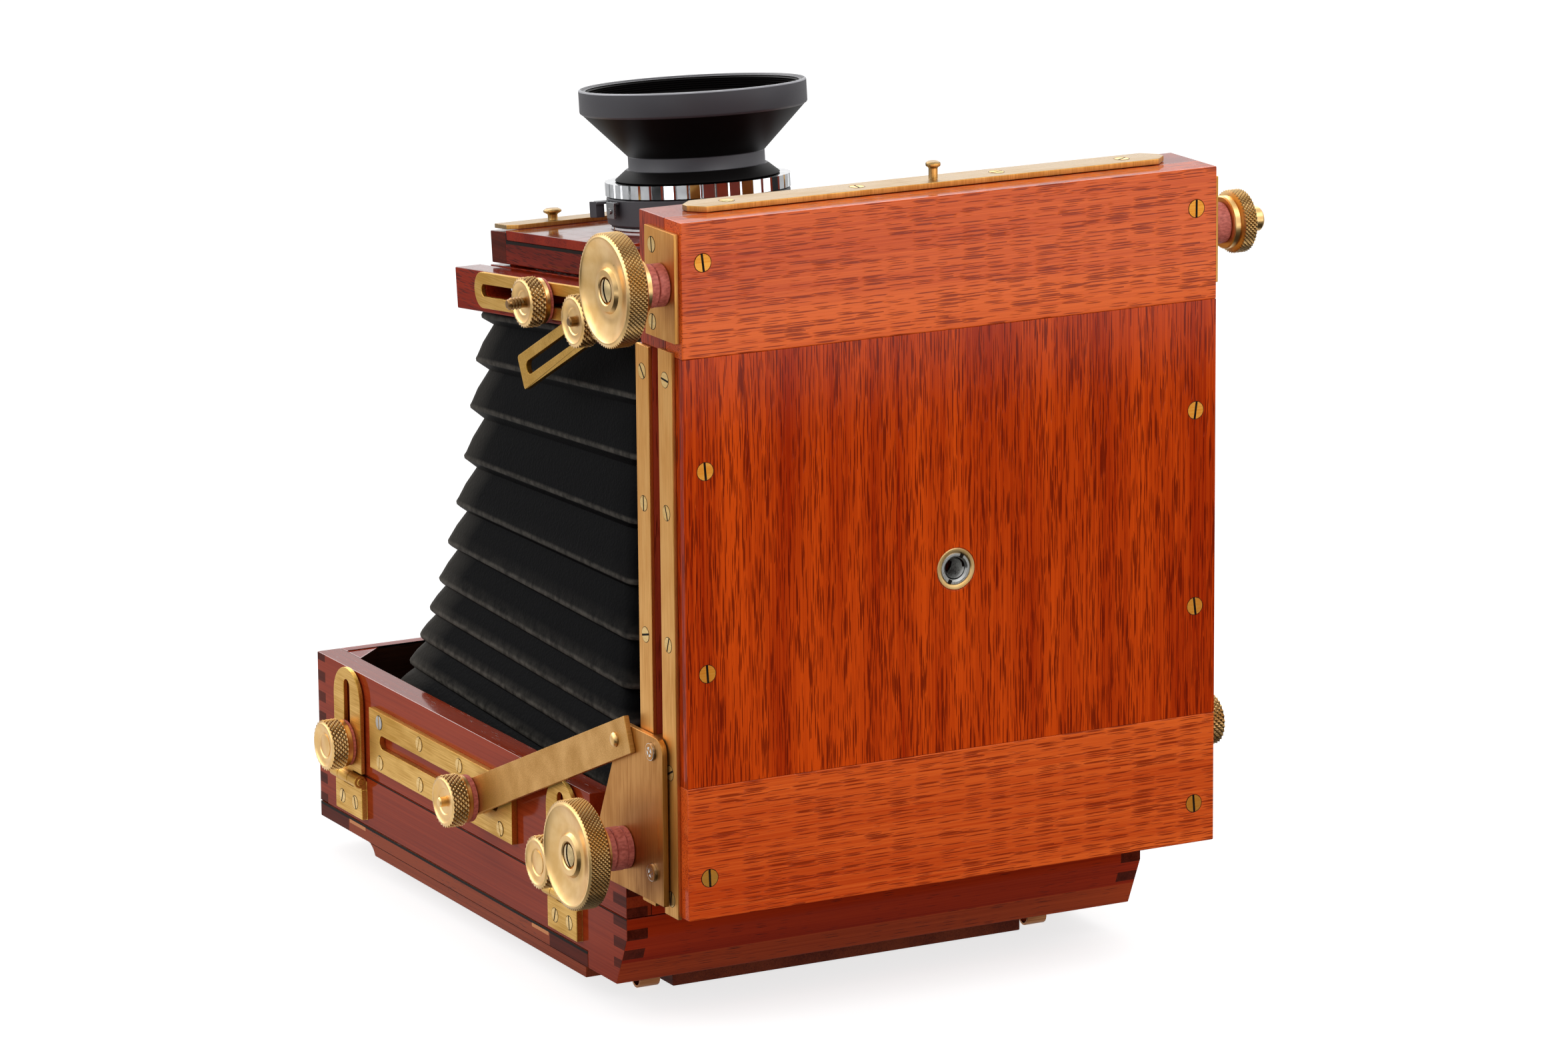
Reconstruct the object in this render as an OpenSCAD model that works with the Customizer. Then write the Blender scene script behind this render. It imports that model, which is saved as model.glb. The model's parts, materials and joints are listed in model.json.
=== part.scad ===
// Wooden 4x5 field camera with brass fittings, standing on its back with the lens pointing up.
// Working coordinates: x from the middle plane, y inward from the outer face of the bed,
// z up from the foot of the bed. at_home() then stands the camera on z = 0.

/* [Bed] */
// Width of the bed across its edges
bed_w = 183.8; // [183:0.2:185]
// Length of the bed from foot to front end
bed_l = 213.5; // [212:0.5:216]
// Height of each cross-grain cleat
cleat_l = 41.2; // [38:0.2:42]

/* [Rear frame] */
// Near face of the frame box, above the bed
frame_y0 = 43.4; // [43.2:0.2:44]
// Far face of the frame box
frame_y1 = 273; // [271:0.2:275]
// Front edge of the frame box
frame_top = 23.5; // [22:0.5:24]
// Thickness of the side walls
wall = 8.6; // [8:0.2:9]

/* [Front standard] */
// Backward lean of the front standard in degrees
lean = 5.9; // [5:0.1:7]
// Distance from the standard's hinge to the lens axis
lens_s = 135.2; // [134:0.1:136]
// Outside width of the square lens frame
lens_frame_w = 101.4; // [100:0.2:102]

/* [Lens] */
// Radius of the front rim
rim_r = 36.6; // [36:0.2:37]
// Radius of the filter thread
filter_r = 33.5; // [33:0.5:34]
// Radius of the shutter housing
shutter_r = 29.6; // [29:0.2:29.8]

/* [Bellows] */
// Half width of the first fold behind the lens frame
bellows_front = 51.5; // [50:0.5:52]
// Growth in half width from fold to fold
bellows_growth = 1.75; // [1.6:0.05:1.8]
// Thickness of the leather
leather = 1.2; // [1:0.1:1.4]

/* [Controls] */
// Radius of the large focusing knobs
focus_knob_r = 17; // [16:0.2:17.4]
// Radius of the small clamp knobs
clamp_knob_r = 8.5; // [8:0.1:8.6]

/* [Hidden] */
$fn = 64;
mid_y = 133.1;
floor_z = 43.3;
mahogany = "#8a3a1f";
panel_wood = "#b4501f";
dark_wood = "#6d2c1c";
brass = "#c9a24a";
steel = "#b9bcc0";
fibre = "#8c4438";
black = "#17181a";
chrome = "#d8dade";

// Bed
hw = bed_w / 2;
bed_t = 10.8;
rail_in = 76.3;
rail_top = 28.3;
block_top = 27.2;
rail_l = 172.9;
strip_t = 1.3;
plate_t = 1.5;
bush_x = 0.3;
bush_z = 98;
bush_r = 6.65;
reducer_r = 5;
thread_r = 3.175;
screw_r = 2.7;

// Rack and pinion drives
gear_m = 0.8;
teeth = 12;
pitch_r = gear_m * teeth / 2;
tooth_pitch = PI * gear_m;
tip_h = 0.7;
root_h = 1;
tip_w = 0.1;
root_w = 0.3;
shaft_r = 2.5;
bore_r = 2.56;
front_y = 10;
front_z = 193.6;
front_gear_x = 62;
gear_w = 5;
rear_y = 35;
rear_z = 15.3;
rear_gear_x = 80.5;

// Front slide
slide_hw = 76;
slide_y0 = 12.9;
slide_y1 = 22.4;
slide_z0 = 10;

// Front standard, in its own axes: s along it from the hinge, t in front of it
tilt_y = 31;
tilt_z = 173.3;
up_out = 60.9;
up_in = 51.6;
up_len = 193;
up_t0 = -7.5;
up_t1 = 5.9;
stud_s = 82.9;
stud_t = -2.8;
rise_s = 123.5;
stay_y = 30.5;
stay_z = 203.2;
stay_reach = 153.7;
stay_slot_0 = 60;
stay_slot_1 = 148.9;
stay_a = 26.49;
stay_w = 11.4;
arm_in = 62.45;
arm_out = 64.4;
lens_t0 = 17.9;

// Rear carriage and frame
strip_out = hw + strip_t;
brkt_in = hw + 1.7;
brkt_out = hw + 3.5;
rivet_y = 37.7;
rivet_z = 48.7;
strut_stud_y = 142.9;
strut_stud_z = 4.95;
strut_l = norm([strut_stud_y - rivet_y, strut_stud_z - rivet_z]);
strut_a = atan2(strut_stud_z - rivet_z, strut_stud_y - rivet_y);
strut_in = brkt_out + 0.05;
strut_out = strut_in + 1.8;
side_x = 91.3;
seam_z = -10.4;
step_z = 10;
step_y = 68;
pin_z = -12.5;
link_far_y = 245.2;
link_near_y = 84.6;
link_w = 20.8;
link_stud_r = 1.7;
link_stud_z = -1.2;
barrel_r = 2.2;
barrel_x = side_x + barrel_r + 0.1;
back_y = 71;
yc = 171.5;

module at_home() translate([0, -mid_y, floor_z]) children();

// Places children given in the standard's own axes (x, s, t).
module on_standard() at_home() translate([0, tilt_y, tilt_z]) rotate([-lean, 0, 0]) children();

module both_sides() {
  children();
  mirror([1, 0, 0]) children();
}

module box(low, high) translate(low) cube(high - low);

// A round bar along x from x0 to x1.
module bar_x(r, x0, x1, y = 0, z = 0) translate([x0, y, z]) rotate([0, 90, 0]) cylinder(r = r, h = x1 - x0);

// A round bar along y from y0 to y1.
module bar_y(r, y0, y1, x = 0, z = 0) translate([x, y0, z]) rotate([-90, 0, 0]) cylinder(r = r, h = y1 - y0);

// A round-ended slot, len long over its ends, along the first axis.
module slot_2d(len, w) {
  square([len - w, w], center = true);
  for (s = [-1, 1]) translate([s * (len - w) / 2, 0]) circle(d = w);
}

// An outline drawn in (y, z) that fills x from x0 to x1.
module side_plate(x0, x1) translate([x0, 0, 0]) rotate([90, 0, 90]) linear_extrude(x1 - x0) children();

// A countersunk slotted screw whose head faces -y at the origin.
module screw(r, len) {
  difference() {
    union() {
      bar_y(r, 0, 1.2);
      bar_y(r * 0.5, 1.2, len);
    }
    translate([-r, -1, -0.3]) cube([2 * r, 1.6, 0.6]);
  }
}

// The hole that a screw fills.
module screw_hole(r, len) {
  bar_y(r, -1, 1.2);
  bar_y(r * 0.5, 1.2, len);
}

module pinion_2d(phase) {
  p = 360 / teeth;
  polygon([
    for (i = [0 : teeth - 1])
      for (c = [[pitch_r - root_h, -root_w], [pitch_r + tip_h, -tip_w], [pitch_r + tip_h, tip_w], [pitch_r - root_h, root_w]])
        c[0] * [cos(phase + (i + c[1]) * p), sin(phase + (i + c[1]) * p)]
  ]);
}

// Rack outline along the second axis with its pitch line at first = 0 and its back at first = back.
module rack_2d(z0, z1, back, centre) {
  first = ceil((z0 + 1 - centre) / tooth_pitch);
  last = floor((z1 - 1 - centre) / tooth_pitch);
  polygon(concat(
    [[back, z1], [back, z0], [root_h, z0]],
    [for (i = [first : last])
      for (c = [[root_h, -root_w], [-tip_h, -tip_w], [-tip_h, tip_w], [root_h, root_w]])
        [c[0], centre + (i + c[1]) * tooth_pitch]],
    [[root_h, z1]]
  ));
}

// A turned knob whose foot is at the origin and which grows along +x:
// a hub, a knurled rim, and a dished face with a raised boss round a domed screw.
module big_knob(hub_h, hub_r, rim_h, r) {
  h = hub_h + rim_h;
  rotate([0, 90, 0]) difference() {
    rotate_extrude() polygon([
      [0, 0], [hub_r, 0], [hub_r + 0.3, hub_h], [r - 0.8, hub_h], [r, hub_h + 0.8],
      [r, h - 0.8], [r - 0.8, h], [r - 1.8, h], [r - 4.5, h - 1.4], [6.5, h - 2.2], [5.6, h - 2],
      [5.2, h - 0.8], [3.6, h - 0.8], [3.4, h - 2.4], [2.8, h - 2.4], [2.5, h - 0.9], [0, h - 0.4]
    ]);
    translate([-2.6, -0.45, h - 1.5]) cube([5.2, 0.9, 2]);
  }
}

// A small clamp knob growing along +x from the origin: washer, collar, knurl and the stud's end.
module clamp_knob(washer_h, collar_h, knurl_h, r, stud_h) {
  c = washer_h + collar_h;
  h = c + knurl_h;
  rotate([0, 90, 0]) rotate_extrude() polygon([
    [0, 0], [r - 1.1, 0], [r - 1.1, c], [r, c],
    [r, h - 0.6], [r - 0.6, h], [r - 1.4, h], [r - 3.2, h - 0.9], [1.8, h - 1.4], [1.6, h - 1.3],
    [1.5, h + stud_h - 0.4], [1.1, h + stud_h], [0, h + stud_h]
  ]);
}

// A ring of wood or brass in a plane of constant z with a rectangular opening.
module ring(low, high, open_low, open_high) difference() {
  box(low, high);
  box([open_low[0], open_low[1], low[2] - 1], [open_high[0], open_high[1], high[2] + 1]);
}

// Bed

module bed_panel() color(panel_wood) at_home() difference() {
  box([-hw, 0, cleat_l], [hw, bed_t, bed_l - cleat_l]);
  bar_y(bush_r, -1, bed_t + 1, bush_x, bush_z);
  bar_y(bush_r + 4, bed_t - 1.5, bed_t + 1, bush_x, bush_z);
  for (x = [-84.7, 84.7], z = [76, 138]) translate([x, 0, z]) screw_hole(screw_r, 9);
}

module bed_cleats() color(mahogany) at_home() difference() {
  union() {
    box([-hw, 0, 0], [hw, bed_t, cleat_l]);
    box([-hw, 0, bed_l - cleat_l], [hw, bed_t, bed_l]);
  }
  bar_x(bore_r, -hw - 1, hw + 1, front_y, front_z);
  box([-hw - 1, front_y, front_z - bore_r], [hw + 1, bed_t + 1, front_z + bore_r]);
  both_sides() bar_x(pitch_r + 1.3, front_gear_x - 0.5, front_gear_x + gear_w + 0.5, front_y, front_z);
  for (x = [-84.7, 84.7], z = [12.7, 201]) translate([x, 0, z]) screw_hole(screw_r, 9);
}

// Side rails with a groove outside for the carriage runners and one inside for the slide,
// and the two blocks that close them at the front.
module bed_rails() color(mahogany) at_home() both_sides() {
  difference() {
    box([rail_in, bed_t, 0], [hw, rail_top, rail_l]);
    box([hw - 3, 13.5, -1], [hw + 1, 19.8, rail_l + 1]);
    box([rail_in - 1, 16.2, -1], [rail_in + 3, 19.8, rail_l + 1]);
  }
  difference() {
    box([rail_in, bed_t, rail_l + 0.1], [hw, block_top, bed_l]);
    box([rail_in - 1, 16.2, rail_l - 1], [rail_in + 3, 19.8, bed_l + 1]);
    box([rail_in - 1, bed_t - 1, front_z - bore_r], [hw + 1, front_y + bore_r, front_z + bore_r]);
  }
}

// Brass strips along both edges of each rail, and the plates that carry the front shaft.
module side_brasses() color(brass) at_home() both_sides() {
  box([hw, 19.8, 0], [strip_out, rail_top, rail_l]);
  box([hw, 4.6, -0.5], [strip_out, 13.5, rail_l + 1]);
  difference() {
    box([hw, 1.5, 177], [hw + plate_t, 21, 210]);
    bar_x(bore_r, hw - 1, hw + 3, front_y, front_z);
    for (z = [181.4, 204.7]) bar_x(2.35, hw - 1, hw + 3, 16.3, z);
  }
}

module rear_racks() color(brass) at_home() both_sides()
  translate([rear_gear_x - 0.5, rear_y - pitch_r, 0]) rotate([90, 0, 90]) linear_extrude(gear_w + 1)
    mirror([1, 0]) rack_2d(2, 170, rear_y - pitch_r - rail_top, rear_z);

module tripod_bush() color(brass) at_home() difference() {
  union() {
    bar_y(bush_r, 0, bed_t, bush_x, bush_z);
    bar_y(bush_r + 4, bed_t - 1.5, bed_t, bush_x, bush_z);
  }
  bar_y(reducer_r, -1, bed_t + 1, bush_x, bush_z);
}

module bush_reducer() color(steel) at_home() difference() {
  bar_y(reducer_r, 0.2, 9.7, bush_x, bush_z);
  bar_y(thread_r, -1, bed_t, bush_x, bush_z);
  box([bush_x - 6, -1, bush_z - 0.7], [bush_x + 6, 1.5, bush_z + 0.7]);
}

module bed_screws() color(brass) at_home()
  for (x = [-84.7, 84.7], z = [12.7, 76, 138, 201]) translate([x, 0, z]) screw(screw_r, 9);

// Screws that hold the strips and the shaft plates, seen as flush heads.
module rail_screws() color(brass) at_home() both_sides() {
  for (z = [181.4, 204.7]) bar_x(2.35, hw, hw + plate_t, 16.3, z);
  for (y = [9, 24], z = [5, 44.4, 84, 124.5, 165]) bar_x(2, strip_out, strip_out + 0.15, y, z);
}

// Front drive

module front_shaft() color(steel) at_home() {
  bar_x(shaft_r, -hw - 15, hw + 14, front_y, front_z);
  both_sides() translate([front_gear_x, front_y, front_z]) rotate([90, 0, 90]) linear_extrude(gear_w) difference() {
    pinion_2d(180 / teeth);
    circle(r = shaft_r);
  }
}

module front_knob() color(brass) at_home() translate([-hw - 8.6, front_y, front_z]) mirror([1, 0, 0]) difference() {
  big_knob(5.3, 8.5, 6.8, focus_knob_r + 0.2);
  bar_x(shaft_r, -1, 6.4);
}

module front_washers() color(fibre) at_home() difference() {
  for (x = [hw + plate_t + 0.05, hw + 5.1]) bar_x(6.5, -x - 3.45, -x, front_y, front_z);
  bar_x(shaft_r, -hw - 15, -hw, front_y, front_z);
}

module front_lock_knob() color(brass) at_home() translate([hw + plate_t + 0.05, front_y, front_z]) difference() {
  rotate([0, 90, 0]) rotate_extrude() polygon([
    [0, 0], [6.3, 0], [6.3, 6.3], [8.2, 6.3], [8.2, 8.6], [9.85, 8.6], [9.85, 13.2], [9.3, 13.8],
    [4.4, 13.8], [3.85, 14.6], [3.85, 19.2], [3.3, 20], [0, 20]
  ]);
  bar_x(bore_r, -1, 14, 0, 0);
}

// Front slide

module slide_board() color(panel_wood) at_home() difference() {
  union() {
    box([-slide_hw, slide_y0, slide_z0], [slide_hw, slide_y1, bed_l]);
    both_sides() box([slide_hw - 1, 16.4, slide_z0], [slide_hw + 3, 19.6, bed_l]);
  }
  both_sides() box([front_gear_x - 1, slide_y0 - 1, slide_z0 - 1], [front_gear_x + gear_w + 1, 18, bed_l + 1]);
}

// Brass plate across the end of the slide, with the headed stud that locks the folded camera.
module end_plate() color(brass) at_home() {
  difference() {
    translate([0, 16.7, bed_l + 0.1]) linear_extrude(1.8) difference() {
      square([164, 11.6], center = true);
      for (sx = [-1, 1], sy = [-1, 1]) translate([sx * 82, sy * 5.8]) rotate(45) square(6, center = true);
    }
    for (x = [-68, -24, 24, 68]) translate([x, 16.7, bed_l]) cylinder(r = 2.2, h = 3);
  }
  for (x = [-68, -24, 24, 68]) translate([x, 16.7, bed_l + 0.1]) cylinder(r = 2.2, h = 1.7);
  translate([2.1, 16.7, bed_l + 1.9]) rotate_extrude() polygon([
    [0, 0], [1.4, 0], [1.4, 3.4], [2.3, 4], [2.3, 4.9], [1.5, 5.4], [0, 5.4]
  ]);
}

module slide_racks() color(brass) at_home() both_sides()
  translate([front_gear_x - 0.5, front_y + pitch_r, 0]) rotate([90, 0, 90]) linear_extrude(gear_w + 1)
    rack_2d(slide_z0 + 2, bed_l - 1, 18 - front_y - pitch_r, front_z);

// Brass lugs on the slide: one pair carries the standard's hinge pin, the other the stays.
module hinge_feet() color(brass) at_home() {
  both_sides() difference() {
    union() {
      box([62.6, slide_y1, 162], [74, slide_y1 + 2, 184]);
      box([62.6, slide_y1, tilt_z - 5], [65.6, tilt_y, tilt_z + 5]);
      bar_x(5, 62.6, 65.6, tilt_y, tilt_z);
    }
    bar_x(2, 60, 70, tilt_y, tilt_z);
  }
  bar_x(2, -66.4, 66.4, tilt_y, tilt_z);
  both_sides() {
    box([52, slide_y1, 194], [62.3, slide_y1 + 2, 212]);
    difference() {
      union() {
        box([59.3, slide_y1, stay_z - 5], [62.3, stay_y, stay_z + 5]);
        bar_x(5, 59.3, 62.3, stay_y, stay_z);
      }
      bar_x(2, 58, 64, stay_y, stay_z);
    }
    bar_x(2, 58.8, 65.4, stay_y, stay_z);
  }
}

// Stays

module stay() difference() {
  side_plate(arm_in, arm_out) translate([stay_y, stay_z]) rotate(-stay_a) difference() {
    union() {
      circle(d = stay_w);
      translate([0, -stay_w / 2]) square([stay_reach, stay_w]);
    }
    translate([(stay_slot_0 + stay_slot_1) / 2, 0]) slot_2d(stay_slot_1 - stay_slot_0, 4.4);
  }
  bar_x(2.06, arm_in - 1, arm_out + 1, stay_y, stay_z);
}

module stay_left() color(brass) at_home() mirror([1, 0, 0]) stay();
module stay_right() color(brass) at_home() stay();

module stay_knob() translate([arm_out + 0.05, stud_s, stud_t]) clamp_knob(1, 1.6, 5.8, clamp_knob_r, 1.2);
module stay_knob_left() color(brass) on_standard() mirror([1, 0, 0]) stay_knob();
module stay_knob_right() color(brass) on_standard() stay_knob();

// Front standard

module uprights() color(mahogany) on_standard() {
  both_sides() difference() {
    union() {
      box([up_in, 0, up_t0], [up_out, up_len, up_t1]);
      bar_x(6.7, up_in, up_out, 0, (up_t0 + up_t1) / 2);
    }
    bar_x(2.06, up_in - 1, up_out + 1, 0, 0);
    box([up_in - 1, 90, -2], [up_out + 1, 168.6, 2]);
    bar_x(2, up_in - 1, up_out + 1, 90, 0);
    bar_x(2, up_in - 1, up_out + 1, 168.6, 0);
    bar_x(1.7, up_out - 6, up_out + 1, stud_s, stud_t);
  }
  difference() {
    box([-up_in, 7, up_t0], [up_in, 25, up_t1]);
    box([-46, 16, -up_in], [46, 26, up_in]);
  }
}

// Slotted brass plates on the uprights, with the studs that the stays are clamped to.
module upright_plates() color(brass) on_standard() both_sides() {
  side_plate(up_out, up_out + 1.5) difference() {
    union() {
      translate([70, -5.85]) square([100, 11.7]);
      translate([170, 0]) circle(r = 5.85);
    }
    translate([129.4, 0]) slot_2d(82.4, 4);
  }
  bar_x(1.7, up_out - 6, arm_out + 0.04, stud_s, stud_t);
}

// Lens stage

// Thin board behind the lens frame that holds the front of the bellows and the two rise studs.
module stage_board() color(mahogany) on_standard() {
  difference() {
    box([-50.7, 85, 3.5], [50.7, 187.6, 6.1]);
    box([-40, 96, 0], [40, 174, 10]);
  }
  for (x = [-44, 44], s = [lens_s - 42, lens_s + 42]) translate([x, s, 6.1]) cylinder(r = 4, h = 0.8);
  both_sides() {
    box([46.2, rise_s - 9, -3.5], [50.9, rise_s + 9, 3.5]);
    bar_x(1.8, 50.9, up_out + 1.6, rise_s, 0);
  }
}

// Square lens frame: full rails at both ends and stiles cut down for the lens board.
module lens_frame() color(mahogany) on_standard() difference() {
  box([-lens_frame_w / 2, lens_s - 50.5, 6.9], [lens_frame_w / 2, lens_s + 50.9, 17.3]);
  box([-60, lens_s - 39.4, 14.6], [60, lens_s + 39.4, 20]);
  box([-40, lens_s - 39, 0], [40, lens_s + 39, 20]);
}

module lens_board() color(mahogany) on_standard() difference() {
  box([-lens_frame_w / 2, lens_s - 39.3, 14.7], [lens_frame_w / 2, lens_s + 39.3, lens_t0]);
  translate([0, lens_s, 0]) cylinder(r = 20.5, h = 30);
}

// Sliding brass bar that holds the lens board's far edge, with its headed stud.
module board_catch() color(brass) on_standard() {
  translate([0, 0, lens_t0 + 0.05]) linear_extrude(1.5) difference() {
    translate([-49.4, 173.2]) square([98.8, 12.2]);
    for (x = [-49.4, 49.4]) translate([x, 173.2]) rotate(45) square(4.2, center = true);
  }
  translate([-32, 177.7, lens_t0 + 1.55]) rotate_extrude() polygon([
    [0, 0], [1.6, 0], [1.6, 1.8], [3, 2.6], [3, 3.2], [2, 3.8], [0, 3.8]
  ]);
}

module rise_knob() translate([up_out + 1.6, rise_s, 0]) clamp_knob(1, 1.9, 5.3, clamp_knob_r - 0.4, 5);
module rise_knob_left() color(brass) on_standard() mirror([1, 0, 0]) rise_knob();
module rise_knob_right() color(brass) on_standard() rise_knob();

// Places children on the lens axis with z = 0 on the front of the lens board.
module on_lens() on_standard() translate([0, lens_s, lens_t0]) children();

// Between-lens shutter: housing, closed blades and the tube of the rear lens group.
module shutter_body() color(black) on_lens() difference() {
  rotate_extrude() polygon([
    [0, -24], [17.5, -24], [18.5, -10], [20, -9], [20, 0], [24.5, 0], [24.5, 1.2], [shutter_r, 1.8],
    [shutter_r, 10.2], [23.5, 10.2], [23.5, 15], [0, 15]
  ]);
  translate([0, 0, 6]) cylinder(r = 16, h = 12);
  translate([0, 0, -25]) cylinder(r = 15, h = 29);
}

module shutter_ring() color(chrome) on_lens() difference() {
  translate([0, 0, 10.25]) cylinder(r = shutter_r + 0.3, h = 4.75);
  translate([0, 0, 9]) cylinder(r = 23.55, h = 7);
  for (i = [0 : 43]) rotate(i * 360 / 44) translate([shutter_r + 0.5, 0, 12.8]) rotate(45)
    cube([1, 1, 8], center = true);
}

// Bent finger tab that sets the aperture.
module aperture_lever() color(black) on_lens() {
  rotate(166) box([shutter_r + 0.1, -2.4, 8.7], [shutter_r + 4.4, 2.4, 9.5]);
  rotate(168) translate([shutter_r + 4.4, 0, 4.4]) rotate(-168) {
    rotate(115) translate([0, -0.8, 0]) cube([2.8, 0.8, 5.1]);
    rotate(-8) cube([2.7, 0.8, 5.1]);
  }
}

// Release tab with its screw.
module release_lever() color(steel) on_lens() rotate(180.5) {
  box([shutter_r + 0.1, -2.6, 8.9], [shutter_r + 2.4, 2.6, 9.6]);
  box([shutter_r + 1.6, -2.6, 4.4], [shutter_r + 2.4, 2.6, 9.6]);
  bar_x(1, shutter_r + 2.3, shutter_r + 2.9, 0, 6.8);
}

// Front group: black flange, neck and the flared hood that ends in the filter thread.
module lens_barrel() color(black) on_lens() rotate_extrude() polygon([
  [16, 15.1], [26.5, 15.1], [26.5, 15.5], [22.7, 18.6], [22, 18.6], [22, 22.9], [rim_r - 0.9, 36.8],
  [rim_r, 37.4], [rim_r, 44.6], [rim_r - 0.4, 45], [filter_r, 45], [filter_r, 40.4], [filter_r - 2.5, 39.6],
  [23, 34], [16, 34]
]);

module front_glass() color("#4a5a78") on_lens() translate([0, 0, 34]) rotate_extrude() polygon([
  for (i = [0 : 12]) [22.5 * i / 12, 3.4 * (1 - pow(i / 12, 2)) + 0.05],
  [22.5, 0], [0, 0]
]);

// Bellows

fold_pitch = function (i) 9.4 + 9 * pow(max(0, 1 - i / 8), 1.2);
fold_z = function (i) i == 0 ? 146 : fold_z(i - 1) - fold_pitch(i - 1);
fold_h = function (i) bellows_front + bellows_growth * i + 0.055 * i * i;
fold_y = function (i) 168 + min(i, 3) * 1.2;
fold_lean = function (i) lean * max(0, 1 - (i + 1) / 4);
folds = 13;
cuff = 44;

// Each ring is [centre y, centre z, half width, lean], from the lens frame down to the back.
bellows_rings = concat(
  [for (t = [3.4, -1.5])
    [tilt_y + lens_s * cos(lean) + t * sin(lean), tilt_z - lens_s * sin(lean) + t * cos(lean), cuff, lean]],
  [for (i = [0 : folds - 1]) each [
    [fold_y(i), fold_z(i), fold_h(i), fold_lean(i)],
    [fold_y(i), fold_z(i) - fold_pitch(i) / 4, fold_h(i) - 4.2, fold_lean(i)]
  ]],
  [[yc, seam_z + 3.5, fold_h(folds - 1) - 1.5, 0]]
);

// The eight corners of one ring, its sides drawn in by the given amount.
function ring_points(r, inset) =
  let (h = r[2] - inset, c = 6)
  [for (p = [[h - c, -h], [h, c - h], [h, h - c], [h - c, h], [c - h, h], [-h, h - c], [-h, c - h], [c - h, -h]])
    [p[0], r[0] + p[1] * cos(r[3]), r[1] - p[1] * sin(r[3])]];

module bellows() color(black) at_home() {
  n = len(bellows_rings);
  skin = leather * sqrt(2);
  points = [for (inset = [0, skin], r = bellows_rings) each ring_points(r, inset)];
  at = function (layer, ring, k) (layer * n + ring) * 8 + k % 8;
  polyhedron(points, concat(
    [for (i = [0 : n - 2], k = [0 : 7]) each [
      [at(0, i, k), at(0, i, k + 1), at(0, i + 1, k + 1)],
      [at(0, i, k), at(0, i + 1, k + 1), at(0, i + 1, k)],
      [at(1, i, k), at(1, i + 1, k + 1), at(1, i, k + 1)],
      [at(1, i, k), at(1, i + 1, k), at(1, i + 1, k + 1)]
    ]],
    [for (k = [0 : 7]) each [
      [at(0, 0, k), at(1, 0, k + 1), at(0, 0, k + 1)],
      [at(0, 0, k), at(1, 0, k), at(1, 0, k + 1)],
      [at(0, n - 1, k), at(0, n - 1, k + 1), at(1, n - 1, k + 1)],
      [at(0, n - 1, k), at(1, n - 1, k + 1), at(1, n - 1, k)]
    ]]
  ));
}

// Rear carriage

// Triangular side brackets, each with a runner that slides in the rail's groove.
module carriage_brackets() color(brass) at_home() {
  both_sides() {
    difference() {
      union() {
        side_plate(brkt_in, brkt_out) union() {
          polygon([[9.6, 2.6], [9.6, 49.8], [36.5, 54.3], [44.2, 38.8], [52.2, 21.8], [60.5, 1.6]]);
          translate([14.1, 49.8]) circle(r = 4.5);
          polygon([[14.1, 49.8], [14.1, 54.3], [36.5, 54.3], [36.5, 49.8]]);
        }
        box([hw - 2.8, 13.8, 3], [brkt_in, 19.5, 54]);
      }
      bar_x(bore_r, brkt_in - 1, brkt_out + 1, rear_y, rear_z);
    }
    bar_x(2.2, brkt_out, strut_out + 0.05, rivet_y, rivet_z);
    bar_x(3.4, strut_out + 0.05, strut_out + 0.75, rivet_y, rivet_z);
    for (z = [11.9, 49.6]) bar_x(2.6, brkt_out, brkt_out + 0.9, 16.6, z);
  }
}

module rear_shaft() color(steel) at_home() {
  bar_x(shaft_r, -brkt_out - 17, brkt_out + 3, rear_y, rear_z);
  both_sides() translate([rear_gear_x, rear_y, rear_z]) rotate([90, 0, 90]) linear_extrude(gear_w) difference() {
    pinion_2d(180 / teeth);
    circle(r = shaft_r);
  }
}

module rear_knob() color(brass) at_home() translate([-brkt_out - 8.8, rear_y, rear_z]) mirror([1, 0, 0]) difference() {
  big_knob(4.3, 8.7, 7.1, focus_knob_r);
  bar_x(shaft_r, -1, 8.2);
}

module rear_washers() color(fibre) at_home() difference() {
  for (w = [[0.05, 2.2], [2.25, 5.7], [5.8, 8.75]]) bar_x(6.6, -brkt_out - w[1], -brkt_out - w[0], rear_y, rear_z);
  bar_x(shaft_r, -brkt_out - 17, -brkt_out, rear_y, rear_z);
}

module rear_lock_knob() color(brass) at_home() translate([brkt_out + 0.05, 25.5, 31.4]) clamp_knob(1.6, 3, 7, 8.2, 1.2);

// Rear frame

// Side walls: full height beyond the step, lower where they pass the bed.
module frame_sides() color(dark_wood) at_home() both_sides() difference() {
  side_plate(side_x - wall, side_x) polygon([
    [frame_y0, seam_z], [frame_y0, step_z], [step_y, step_z], [step_y, frame_top], [frame_y1, frame_top],
    [frame_y1, seam_z]
  ]);
  for (y = [link_near_y, link_far_y]) bar_x(link_stud_r + 0.06, side_x - 6, side_x + 1, y, link_stud_z);
}

// End walls, the base block over the bed, the corner blocks and the board that holds the bellows.
module frame_ends() color(dark_wood) at_home() {
  in_x = side_x - wall;
  box([-in_x, frame_y0, seam_z], [in_x, step_y + 6, step_z]);
  box([-in_x, step_y, step_z], [in_x, step_y + 6, frame_top]);
  box([-in_x, frame_y1 - 5.5, seam_z], [in_x, frame_y1, frame_top]);
  both_sides() translate([in_x, frame_y1 - 5.5, seam_z]) linear_extrude(frame_top - seam_z - 3)
    polygon([[0, 0], [-11, 0], [0, -10.5]]);
  ring([-in_x, step_y + 6, seam_z], [in_x, frame_y1 - 5.5, seam_z + 3], [-72, yc - 72], [72, yc + 72]);
}

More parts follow.
